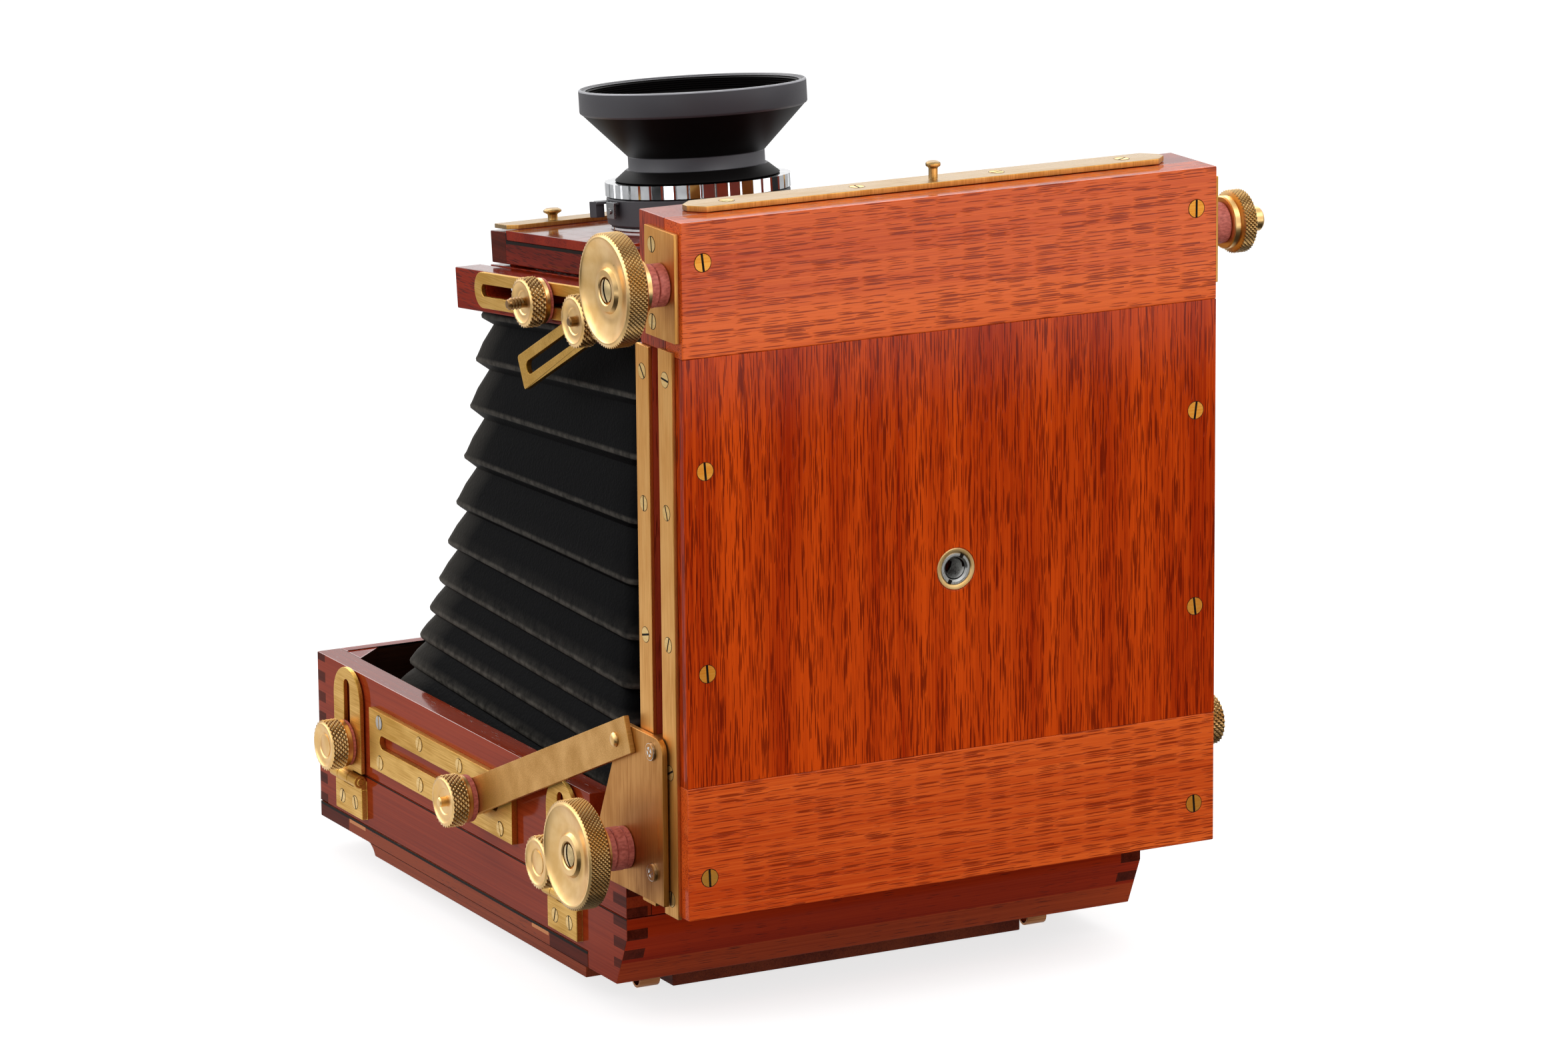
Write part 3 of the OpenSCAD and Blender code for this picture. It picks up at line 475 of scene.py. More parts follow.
def lathe(profile, steps=64, knurl=None):
    """A turned solid round +z from (along, radius) pairs in mm. Knurl is (start, end, radius, pitch,
    depth): crossed grooves cut the rim there into small pyramids. The mesh keeps each point's radius
    and whether it lies in a groove."""
    bm = bmesh.new()
    points = []
    if knurl:
        start, end, radius, pitch, depth = knurl
        steps = 2 * round(2 * math.pi * radius / pitch)
        rows = max(2, round((end - start) / (pitch / 2)))
        rim = [(start + (end - start) * i / rows, radius) for i in range(rows + 1)]
        split = next(i for i, p in enumerate(profile) if p is None)
        points = profile[:split] + rim + profile[split + 1 :]
    else:
        points = profile
    line = [bm.verts.new((r * mm, 0, z * mm)) for z, r in points]
    edges = [bm.edges.new(pair) for pair in zip(line, line[1:])]
    bmesh.ops.spin(bm, geom=line + edges, cent=(0, 0, 0), axis=(0, 0, 1), angle=2 * math.pi,
                   steps=steps, use_merge=True)
    bmesh.ops.remove_doubles(bm, verts=bm.verts, dist=2e-6)
    bmesh.ops.recalc_face_normals(bm, faces=bm.faces)
    kept = bm.verts.layers.float_vector.new("lathe")
    carved = set()
    for v in bm.verts:
        reach = math.hypot(v.co.x, v.co.y)
        v[kept] = (reach, v.co.z, 0)
        if knurl and abs(reach - radius * mm) < 1e-5 and start - 0.01 < v.co.z / mm < end + 0.01:
            carved.add(v)
            column = round(math.atan2(v.co.y, v.co.x) / (2 * math.pi) * steps)
            row = round((v.co.z / mm - start) / (end - start) * rows)
            if (column + row) % 2:
                v.co.x *= 1 - depth / radius
                v.co.y *= 1 - depth / radius
                v[kept] = (reach, v.co.z, 1)
    if carved:
        for face in [f for f in bm.faces if all(v in carved for v in f.verts)]:
            grooves = [v for v in face.verts if v[kept].z > 0.5]
            if len(grooves) == 2:
                bmesh.utils.face_split(face, *grooves)
    return bm


def turned(name, profile, point, look, finishes, body, replaces=(), knurl=None, steps=64,
           sharp=28):
    bm = lathe(profile, steps, knurl)
    bmesh.ops.transform(bm, matrix=facing(point, look), verts=bm.verts)
    made = piece(name, bm, finishes, body, sharp)
    if replaces:
        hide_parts(*replaces)
    return made


def lathe_brass(name, base, deep, rough=0.24):
    """Bright turned brass: faint rings from the tool, stray dark spots, and dirt left in the knurl."""
    made, tree, shader = finish(name, {"Metallic": 1, "Roughness": rough})
    kept = add(tree, "ShaderNodeAttribute", attribute_name="lathe").outputs["Vector"]
    ringed = add(tree, "ShaderNodeMapping", {"Vector": kept, "Scale": (1 / (0.28 * mm), 1 / (0.5 * mm), 0)})
    rings = add(tree, "ShaderNodeTexNoise", {"Vector": ringed.outputs[0], "Scale": 1, "Detail": 2})
    metal = mixed(tree, ranged(tree, noise(tree, "X", 6, 6, 3), 0.35, 0.65), deep, base)
    spot = ranged(tree, noise(tree, "X", 1.3, 1.3, 3), 0.74, 0.77, 0, 0.75)
    stained = mixed(tree, spot, metal, "#6a5232")
    pit = add(tree, "ShaderNodeSeparateXYZ", {0: kept}).outputs["Z"]
    dirty = mixed(tree, ranged(tree, pit, 0.15, 0.95, 0, 0.7), stained, "#4a2c0c")
    tree.links.new(dirty, shader.inputs["Base Color"])
    bump(tree, shader, rings.outputs[0], 0.2, 0.006)
    return made


def steel(name, base, rough, grain_mm=0.5):
    """Plain steel or plating: a little uneven in gloss, with fine marks."""
    made, tree, shader = finish(name, {"Metallic": 1, "Roughness": rough})
    marks = noise(tree, "X", grain_mm, grain_mm, 3)
    shade = mixed(tree, ranged(tree, marks, 0.3, 0.7, 0.75), "#6d6a66", base)
    tree.links.new(shade, shader.inputs["Base Color"])
    uneven = ranged(tree, marks, 0.3, 0.7, rough * 1.3, rough * 0.8)
    tree.links.new(uneven, shader.inputs["Roughness"])
    return made


knob_brass = lathe_brass("brass_turned", "#f0c98c", "#e2b673", 0.33)
steel_plain = steel("steel_plain", "#c9c9c6", 0.3)
bush_x = 0.3
bush_z = 98
bush_point = (bush_x, 0, bush_z)
out = (0, -1, 0)
turned(
    "tripod_bush.dressed",
    [(-9.4, 10.6), (-10.8, 10.6), (-10.8, 5.02), (-0.3, 5.02), (-0.02, 5.3), (0, 5.4), (0, 6.35),
     (-0.25, 6.6), (-9.4, 6.65), (-9.4, 10.6)],
    bush_point, out, knob_brass, "bed", ["tripod_bush"],
)


def threaded(bm, radius, depth, pitch, length, start=0.0):
    """Adds a screw thread round +z: one groove's outline spun and drawn along at once."""
    steps = 24
    turns = int(length / pitch)
    low = start * mm
    outline = [(radius - depth, low), (radius, low + pitch * mm / 2), (radius - depth, low + pitch * mm)]
    line = [bm.verts.new((r * mm, 0, z)) for r, z in outline]
    edges = [bm.edges.new(pair) for pair in zip(line, line[1:])]
    bmesh.ops.spin(bm, geom=line + edges, cent=(0, 0, 0), axis=(0, 0, 1), angle=2 * math.pi * turns,
                   steps=steps * turns, dvec=(0, 0, pitch * mm / steps))
    bmesh.ops.remove_doubles(bm, verts=bm.verts, dist=2e-6)


reducer = lathe([(-9.5, 3.5), (-9.7, 5), (-0.45, 5), (-0.25, 4.8), (-0.25, 4.1), (-0.9, 3.5)])
threaded(reducer, 3.55, 0.45, 1.27, 8.5, -9.5)
bmesh.ops.recalc_face_normals(reducer, faces=reducer.faces)
bmesh.ops.transform(reducer, matrix=facing(bush_point, out), verts=reducer.verts)
insert = piece("bush_reducer.dressed", reducer, steel_plain, "bed")
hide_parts("bush_reducer")
# Painted shadow: two thin black plates on the insert's face stand for the shade in its driver slots.
slot_shades = bmesh.new()
for side in (-1, 1):
    notch = bmesh.ops.create_cube(slot_shades, size=1)["verts"]
    bmesh.ops.scale(slot_shades, vec=(1.3 * mm, 1.2 * mm, 0.12 * mm), verts=notch)
    bmesh.ops.translate(slot_shades, vec=(side * 4.3 * mm, 0, -0.24 * mm), verts=notch)
turn_slots = Matrix.Rotation(math.radians(62), 3, "Z")
bmesh.ops.rotate(slot_shades, cent=(0, 0, 0), matrix=turn_slots, verts=slot_shades.verts)
bmesh.ops.transform(slot_shades, matrix=facing(bush_point, out), verts=slot_shades.verts)
piece("bush_slot_shadows", slot_shades, shadow_black, "bed")

# The front drive: a steel shaft with a big knurled focusing knob on the left, two red fibre washers
# under it, and a lock knob on the right. The knobs are turned from solid brass.


def fibre(name, base, deep):
    """Vulcanised fibre: matt, faintly mottled, with a finely sanded edge."""
    made, tree, shader = finish(name, {"Roughness": 0.6, "IOR": 1.5})
    mottle = noise(tree, "X", 0.7, 1.4, 4)
    shade = mixed(tree, ranged(tree, mottle, 0.35, 0.65), deep, base)
    tree.links.new(shade, shader.inputs["Base Color"])
    bump(tree, shader, mottle, 0.3, 0.08)
    return made


red_fibre = fibre("fibre_red", "#c4685a", "#9c463a")
screw_nickel = steel("nickelled_screw", "#dcc08a", 0.24)


def focusing_knob(name, foot, hub_h, hub_r, rim_h, radius, body, node):
    """A big knob: hub, knurled rim, bright lip, dished face and a raised boss round its screw."""
    h = hub_h + rim_h
    r = radius
    profile = [
        (0, 2.6), (0, hub_r), (hub_h - 0.6, hub_r + 0.3), (hub_h - 0.4, r - 1.5), (hub_h, r - 1.1),
        (hub_h + 0.35, r - 0.5), None, (h - 0.3, r - 0.75), (h, r - 1.2), (h, r - 1.7), (h - 0.35, r - 2.1),
        (h - 1.1, r - 4.2), (h - 1.7, r - 6.6), (h - 2.0, 9.2), (h - 1.95, 8), (h - 1.6, 7),
        (h - 0.9, 6.5), (h - 0.55, 6.2), (h - 0.5, 5.7), (h - 0.6, 4.5), (h - 0.9, 4.1), (h - 2.4, 4.0),
        (h - 2.4, 0),
    ]
    rim = (hub_h + 0.6, h - 0.55, r, 1.35, 0.5)
    turned(name, profile, foot, (-1, 0, 0), knob_brass, body, [node], rim)
    top = (foot[0] - (h - 2.4), foot[1], foot[2])
    heads_of(name.split(".")[0] + "_screw", [(top, (-1, 0, 0), 14)], 3.5, screw_nickel, body, 1.5, dome=0.7)


front_y = 10
front_z = 193.6
knob_foot = (-bed_half - 8.6, front_y, front_z)
focusing_knob("front_knob.dressed", knob_foot, 5.3, 8.5, 6.8, 17.2, "front_drive", "front_knob")


def washer(name, x, thick, radius, y, z, side, body, node=None):
    """One fibre washer on a shaft along x, its edges rubbed round."""
    profile = [(0, 2.6), (0, radius - 0.4), (0.25, radius), (thick - 0.25, radius), (thick, radius - 0.4),
               (thick, 2.6)]
    turned(name, profile, (side * x, y, z), (side, 0, 0), red_fibre, body, [node] if node else ())


washer("front_washer_1", bed_half + 1.55, 3.4, 6.5, front_y, front_z, -1, "front_drive", "front_washers")
washer("front_washer_2", bed_half + 5.1, 3.4, 6.6, front_y, front_z, -1, "front_drive")
washer("front_lock_washer", bed_half + 1.6, 6.2, 6.4, front_y, front_z, 1, "front_lock")
turned(
    "front_lock_knob.dressed",
    [(6.3, 2.6), (6.3, 7.8), (6.6, 8.2), (8.3, 8.2), (8.5, 7.6), (8.9, 9.1), None, (13.6, 9.1), (13.9, 8.4),
     (13.6, 7.6), (13.7, 4.5), (14.6, 3.85), (19.0, 3.85), (19.7, 3.3), (20, 2.4), (20, 0)],
    (bed_half + 1.55, front_y, front_z), (1, 0, 0), knob_brass, "front_lock", ["front_lock_knob"],
    (9.2, 13.3, 9.85, 1.3, 0.45),
)
dressed("front_shaft", 0.05, steel_plain)

# The slide: a board that runs in the bed, with a brass plate across its end. The plate carries the
# headed stud that locks the folded camera, and four countersunk screws. Racks and lugs are hidden.
end_brass = brass("brass_end_plate", "#ab9068", "#8b6f42", "X", 0.3)


def bright_edges(bm):
    """The narrow sides that look the same way as the bed's outer face get the paler strip brass, and the
    other faces the darker end brass.
    """
    bm.normal_update()
    for face in bm.faces:
        face.material_index = int(face.normal.y < -0.7)


dressed("end_plate", 0.2, [end_brass, strip_brass], bright_edges)
dressed("slide_racks", 0.03, strip_brass)
dressed("rear_racks", 0.03, strip_brass)
dressed("hinge_feet", 0.15, strip_brass)
end_y = 16.7
end_top = 215.4
heads_of(
    "end_plate_screws",
    [((x, end_y, end_top), (0, 0, 1), dice.uniform(0, 180)) for x in (-68, -24, 24, 68)],
    2.3, light_brass, "front_slide", 0.03,
)

# The stays: two slotted brass arms from the slide to the standard, each held by a clamp knob.


def rounded_ends(bm):
    """Rounds the sheet's outer corners."""
    corners = []
    for edge in bm.edges:
        along = (edge.verts[0].co - edge.verts[1].co).normalized()
        if len(edge.link_faces) == 2 and abs(along.x) > 0.99 and edge.calc_face_angle(0) > math.radians(50):
            corners.append(edge)
    bmesh.ops.bevel(bm, geom=corners, offset=1.2 * mm, offset_type="OFFSET", affect="EDGES", segments=4,
                    profile=0.5, material=-1, clamp_overlap=True)


stay_brass = brass("brass_stay", "#d2a44c", "#b48a36", "X", 0.4)
for side in ("left", "right"):
    dressed("stay_" + side, 0.2, stay_brass, rounded_ends)

# Clamp knobs: turned from brass bar, coarsely knurled, with a fibre washer below and the end of the
# stud in the middle of the face.
bronze = lathe_brass("bronze_thread", "#957146", "#644a2a", 0.36)


def clamp_knob(name, foot, side, washer_h, collar_h, knurl_h, radius, stud_h, body, tilt=None):
    """Foot is the middle of the washer's under face. Tilt is a matrix for a knob on the leaning standard.
    A long stud is threaded, and a very short one is a flat disc in the knob's face."""
    r = radius
    c = washer_h + collar_h
    h = c + knurl_h
    profile = [
        (washer_h + 0.02, 1.6), (washer_h + 0.02, r - 0.95), (washer_h + 0.3, r - 0.7), (c - 0.35, r - 0.7),
        (c - 0.2, r - 1.1), (c, r - 1.1), (c + 0.15, r - 0.6), None,
        (h - 0.35, r - 0.75), (h - 0.05, r - 1.15), (h, r - 1.6), (h - 0.25, r - 1.9), (h - 0.55, r - 2.6),
        (h - 0.75, r - 3.6), (h - 0.7, r - 4.1), (h - 1.0, r - 4.5), (h - 1.05, 2.4), (h - 1.2, 1.9),
        (h - 1.2, 1.6),
    ]
    whole = lathe(profile, knurl=(c + 0.3, h - 0.5, r, 1.7, 0.55))
    disc = lathe([(0, 1.6), (0, r - 1.2), (0.2, r - 0.9), (washer_h - 0.15, r - 0.9), (washer_h, r - 1.15),
                  (washer_h, 1.6)], 48)
    if stud_h < 0.5:
        stud = lathe([(h - 1.3, 3.7), (h - 0.8, 3.7), (h - 0.72, 3.5), (h - 0.7, 0)], 48)
    else:
        stud = lathe([(h - 1.3, 1.6), (h + stud_h - 0.5, 1.6), (h + stud_h - 0.1, 1.2), (h + stud_h, 0)], 24)
    if stud_h > 2:
        threaded(stud, 2.0, 0.42, 1.1, stud_h, h - 0.7)
        bmesh.ops.recalc_face_normals(stud, faces=stud.faces)
    onto = tilt @ Matrix.Translation(Vector(foot) * mm) if tilt else Matrix.Translation(at(*foot))
    place = onto @ Vector((side, 0, 0)).to_track_quat("Z", "Y").to_matrix().to_4x4()
    stud_metal = bronze if stud_h in (1.2, 5) else knob_brass
    for bm in (whole, disc, stud):
        bmesh.ops.transform(bm, matrix=place, verts=bm.verts)
    knob = piece(name + ".dressed", whole, knob_brass, body)
    piece(name + "_washer", disc, red_fibre, body)
    piece(name + "_stud", stud, stud_metal, body)
    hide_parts(name)


lean = 5.9
hinge = (0, 31, 173.3)
standard = Matrix.Translation(at(*hinge)) @ Matrix.Rotation(math.radians(-lean), 4, "X")
for side, name in ((-1, "left"), (1, "right")):
    clamp_knob("stay_knob_" + name, (side * 64.45, 82.9, -2.8), side, 1, 1.6, 5.8, 8.5, 1.2,
               "stay_knob_" + name, standard)
    clamp_knob("rise_knob_" + name, (side * 62.5, 123.5, 0), side, 1, 1.9, 5.3, 8.1, 5,
               "rise_knob_" + name, standard)

# The front standard: a yoke of two uprights and a cross bar, with slotted brass plates let in, and
# the lens stage that slides on it. Everything here leans back with the standard.
standard_wood = wood("mahogany_standard", "Y", "#962c12", "#74180a", "#3f0d08", 4, 0.28, 1.0, 12, 0.25)
edge_wood = wood("mahogany_frame", "X", "#962c12", "#74180a", "#3c0c07", 4, 0.28, 1.0, 12, 0.25)
dressed("uprights", 0.35, standard_wood)
dressed("upright_plates", 0.2, plate_brass)
dressed("stage_board", 0.3, standard_wood)
dark_standard = wood("mahogany_lens_frame", "Y", "#7c2210", "#5a1408", "#340a06", 4, 0.28, 1.0, 12, 0.25)
dressed("lens_frame", 0.35, dark_standard)
dressed("lens_board", 0.3, edge_wood)
end_grain = wood("mahogany_end_grain", "Y", "#602214", "#461509", "#2c0a05", 0.8, 0.2, 0.35, 3, 0.6)


def facing_strip(name, low, high, material, body="lens_stage"):
    """A thin strip on the leaning standard between two corners, for a painted shadow line in a gap or for a
    piece let in.
    """
    bm = bmesh.new()
    verts = bmesh.ops.create_cube(bm, size=1)["verts"]
    bmesh.ops.scale(bm, vec=[(b - a) * mm for a, b in zip(low, high)], verts=verts)
    bmesh.ops.translate(bm, vec=[(a + b) / 2 * mm for a, b in zip(low, high)], verts=verts)
    bmesh.ops.transform(bm, matrix=standard, verts=verts)
    piece(name, bm, material, body)


for side, name in ((-1, "left"), (1, "right")):
    outer = 50.7 * side
    x0, x1 = sorted((outer - 0.2 * side, outer + 0.04 * side))
    # Painted shadow: black strips along the gap between the lens board and its frame.
    facing_strip("board_gap_" + name, (x0, 96, 13.6), (x1, 174.6, 14.6), shadow_black)
    facing_strip("board_gap_end_" + name, (x0, 173.9, 14.6), (x1, 174.6, 17.2), shadow_black)
    x0, x1 = sorted((outer - 0.2 * side, outer + 0.03 * side))
    facing_strip("frame_end_" + name, (x0, 175, 7.2), (x1, 185.7, 17), end_grain)
dressed("board_catch", 0.2, [end_brass, strip_brass], bright_edges)

# The lens: black satin anodised barrel that flares to a filter rim, a fluted chrome ring on a black
# shutter, and coated glass. All of it is turned on one axis.
on_lens = standard @ Matrix.Translation(Vector((0, 135.2, 17.9)) * mm)


def enamel(name, base, rough):
    """Satin black: anodised or stove enamelled, with a fine even grain that softens reflections."""
    made, tree, shader = finish(name, {"Base Color": linear(base), "Roughness": rough, "IOR": 1.5})
    grain = noise(tree, "X", 0.3, 0.3, 3)
    uneven = ranged(tree, grain, 0.3, 0.7, rough * 1.15, rough * 0.85)
    tree.links.new(uneven, shader.inputs["Roughness"])
    bump(tree, shader, grain, 0.2, 0.02)
    return made


barrel_black = enamel("anodised_black", "#3c3b40", 0.45)
shutter_black = enamel("enamel_black", "#39383d", 0.5)
cone_black = finish("enamel_dull_black", {"Base Color": linear("#0c0a0a"), "Roughness": 0.45, "IOR": 1.5,
                                          "Specular IOR Level": 0.06})[0]
# Painted highlight: a pale grey for the bright line on the filter rim's outer top edge.
rim_highlight_grey = enamel("painted_rim_highlight", "#8b8b90", 0.35)


def lens_part(name, profile, finishes, body, node=None, steps=128):
    bm = lathe(profile, steps)
    bmesh.ops.transform(bm, matrix=on_lens, verts=bm.verts)
    made = piece(name, bm, finishes, body)
    if node:
        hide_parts(node)
    return made


rim_r = 36.6
thread_r = 34.3
thread = []
for i in range(6):
    thread += [(44.1 - 0.7 * i, thread_r), (43.75 - 0.7 * i, thread_r - 0.5)]
rings_inside = [(39.9, thread_r - 0.9), (39.7, 32.2)]
for i in range(5):
    rings_inside += [(38.9 - i, 31.4 - 1.6 * i), (38.8 - i, 30.6 - 1.6 * i)]
barrel = lens_part(
    "lens_barrel.dressed",
    [(15.1, 16), (15.1, 26.2), (15.3, 26.5), (15.5, 26.4), (18.5, 22.8), (18.6, 22.1), (18.8, 22.0),
     (22.7, 22.0), (22.95, 22.2), (36.8, 35.7), (37.3, 36.4), (37.7, rim_r), (44.5, rim_r),
     (44.9, rim_r - 0.3), (45, rim_r - 0.7), (44.8, rim_r - 1.2), (44.5, rim_r - 1.5), (44.4, thread_r)]
    + thread + rings_inside + [(34.7, 23.2), (34, 22.7), (33.2, 22.6), (33.2, 16), (15.1, 16)],
    [barrel_black, cone_black, rim_highlight_grey], "lens_stage", "lens_barrel",
)
along = on_lens.inverted()
for face in barrel.data.polygons:
    spot = along @ face.center
    outside = spot.xy.length > 0.7 * rim_r * mm
    cone = 23 * mm < spot.z < 37 * mm and (outside or spot.xy.length > 22.05 * mm)
    within = spot.z > 33.1 * mm and spot.xy.length < (thread_r + 0.1) * mm
    if cone or within or spot.z < 18.5 * mm:
        face.material_index = 1
    elif spot.z > 44.5 * mm and spot.xy.length > (rim_r - 0.75) * mm:
        # The rim's outer top edge gets the painted highlight grey.
        face.material_index = 2
glass, tree, shader = finish("coated_glass", {
    "Base Color": linear("#06070d"), "Roughness": 0.03, "IOR": 1.7, "Specular Tint": linear("#b9a8ff"),
    "Coat Weight": 0.3, "Coat Roughness": 0.02})
tint = mixed(tree, noise(tree, "X", 12, 12), "#05060b", "#0b0a16")
tree.links.new(tint, shader.inputs["Base Color"])
dome = [(34.05, 22.5)] + [(34.05 + 3.4 * (1 - (i / 12) ** 2), 22.5 * i / 12) for i in range(12, -1, -1)]
lens_part("front_glass.dressed", [(34.0, 0)] + dome, glass, "lens_stage", "front_glass")
lens_part(
    "shutter_body.dressed",
    [(-24, 15), (-24, 17.5), (-10, 18.5), (-9, 20), (0, 20), (0, 24.5), (1.2, 24.5), (1.3, 28.8), (1.9, 29.6),
     (9.8, 29.6), (10.2, 29.3), (10.2, 23.5), (15, 23.5), (15, 15), (-24, 15)],
    shutter_black, "lens_stage", "shutter_body",
)
bright_chrome = steel("chrome", "#e9ebee", 0.07, 3)
lens_part(
    "shutter_base",
    [(0.02, 24.6), (0.02, 28.4), (0.25, 28.7), (0.95, 28.7), (1.15, 28.4), (1.15, 24.6)],
    bright_chrome, "lens_stage",
)

# The fluted ring: a chromed brass ring whose rim has forty-four flat lands with narrow grooves between.
lands = 44
ring_r = 29.9
bm = bmesh.new()
per_land = 8
outline = bmesh.ops.create_circle(bm, segments=lands * per_land, radius=ring_r * mm)["verts"]
for v in outline:
    step = round(math.atan2(v.co.y, v.co.x) / (2 * math.pi) * lands * per_land) % per_land
    off_middle = 2 * math.pi / lands * (step / per_land - 0.5)
    v.co *= (ring_r - 0.5) / ring_r if step == 0 else math.cos(math.pi / lands) / math.cos(off_middle)
face = bmesh.ops.contextual_create(bm, geom=bm.edges[:])["faces"]
bmesh.ops.inset_region(bm, faces=face, thickness=0.35 * mm, depth=0.3 * mm)
raised = bmesh.ops.extrude_edge_only(bm, edges=[e for e in bm.edges if e.is_boundary])["geom"]
bmesh.ops.translate(bm, verts=verts_of(raised), vec=(0, 0, -4.3 * mm))
bmesh.ops.contextual_create(bm, geom=[e for e in bm.edges if e.is_boundary])
bmesh.ops.recalc_face_normals(bm, faces=bm.faces)
bmesh.ops.translate(bm, verts=bm.verts, vec=(0, 0, 14.65 * mm))
bmesh.ops.transform(bm, matrix=on_lens, verts=bm.verts)
fluted = piece("shutter_ring.dressed", bm, bright_chrome, "shutter_ring")
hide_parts("shutter_ring")
dressed("aperture_lever", 0.1, shutter_black)
dressed("release_lever", 0.1, steel("steel_lever", "#8f9092", 0.25))

# The bellows: black leather over card, folded square with softened corners and tapering to the lens.
# It is glued to the lens frame and to the board in the rear frame. It is made in five parts, each spanning
# one or more joints, and the parts ride on no body.
# The heights of its folds are given from the lens end down.
ridge_z = [148.5, 132.5, 115.2, 96.6, 79.6, 64.6, 50.8, 40.4, 30.6, 21.0, 12.6, 4.5, -3.5]
folds = len(ridge_z)
front_reach = 13


def fold_pitch(i):
    return ridge_z[i] - ridge_z[i + 1] if i < folds - 1 else 8


def fold_shape(i):
    """Middle in y, half width and lean of fold i. The folds fan out towards the bed."""
    sag = max(6 - 1.5 * i, -1 - 0.22 * i) * min(1, (13 - i) / 3)
    return 168 + 1.2 * min(i, 3), 52.2 + 1.75 * i + 0.055 * i * i + 0.7 * max(0, 3 - i), sag


board_lean = math.radians(lean)


def behind_board(t):
    """Middle (y, z) of a ring t mm in front of the standard's own plane, on the lens axis."""
    return (31 + 135.2 * math.cos(board_lean) + t * math.sin(board_lean),
            173.3 - 135.2 * math.sin(board_lean) + t * math.cos(board_lean))


rings = []
for t in (3.2, -1.5):
    y, z = behind_board(t)
    rings.append((y, z, 43.6, lean, 6, 0.0))
valleys = []
for i in range(folds):
    y, half, tilt = fold_shape(i)
    pitch = fold_pitch(i)
    z = ridge_z[i]
    if i:
        last_y, last_half, last_tilt = fold_shape(i - 1)
        z_up = rings[-1][1]
        rings.append(((y + last_y) / 2, z_up + (z - z_up) * 0.5, (last_half - inset + half) / 2 + 0.3,
                      (tilt + last_tilt) / 2, 5.5, 0.35))
    inset = 0.2 * pitch - 1.1 if i < folds - 1 else 2
    rings.append((y, z + 1.5, half - 0.35, tilt, 4.6, 0.8))
    rings.append((y, z + 0.45, half, tilt, 4.2, 1.0))
    rings.append((y, z - 0.55, half - 0.15, tilt, 4.2, 1.0))
    rings.append((y, z - 1.05, half - 0.6, tilt, 4.6, 0.8))
    valleys.append(len(rings))
    rings.append((y, z - max(1.5, 0.36 * pitch - 3), half - max(inset, 0.9), tilt, 7.5, 0.0))
rings.append((171.5, -6.5, fold_shape(folds - 1)[1] - 1.7, 0, 8, 0.0))


def leather(name):
    """Thin black leather: fine grain, a soft sheen, folds rubbed dusty grey along their edges with a painted
    highlight along each ridge, and a painted sheen, a paler grey, at the back-left corner.
    """
    made, tree, shader = finish(name, {"Roughness": 0.5, "IOR": 1.5, "Specular IOR Level": 0.02})
    where = stretched(tree, "X", 0.9, 0.9)
    cells = add(tree, "ShaderNodeTexVoronoi", {"Vector": where, "Scale": 1}, feature="SMOOTH_F1").outputs[0]
    creases = noise(tree, "X", 3, 3, 4)
    rub_and_sheen = add(tree, "ShaderNodeAttribute", attribute_name="fold").outputs["Fac"]
    spot = add(tree, "ShaderNodeTexCoord").outputs["Object"]
    height = add(tree, "ShaderNodeSeparateXYZ", {0: spot}).outputs["Z"]
    low = ranged(tree, height, 0.13, 0.07)
    band = ranged(tree, rub_and_sheen, 0.45, 0.85, 0, 0.38)
    # Dust on the lower folds, and a painted highlight along each ridge's edge.
    dust_and_ridge_sheen = reckoned(tree, "MULTIPLY_ADD", band, low, ranged(tree, rub_and_sheen, 0.84, 1.0, 0, 0.65))
    wear_and_sheen = reckoned(tree, "MULTIPLY", dust_and_ridge_sheen, ranged(tree, creases, 0.3, 0.65, 0.25))
    # Painted sheen: the back-left corner is lightened towards grey.
    corner = add(tree, "ShaderNodeAttribute", attribute_name="painted_corner_sheen").outputs["Fac"]
    grey = reckoned(tree, "MULTIPLY_ADD", corner, 0.5, wear_and_sheen)
    tree.links.new(mixed(tree, grey, "#060607", "#56524c"), shader.inputs["Base Color"])
    bump(tree, shader, reckoned(tree, "ADD", cells, creases), 0.5, 0.15)
    return made


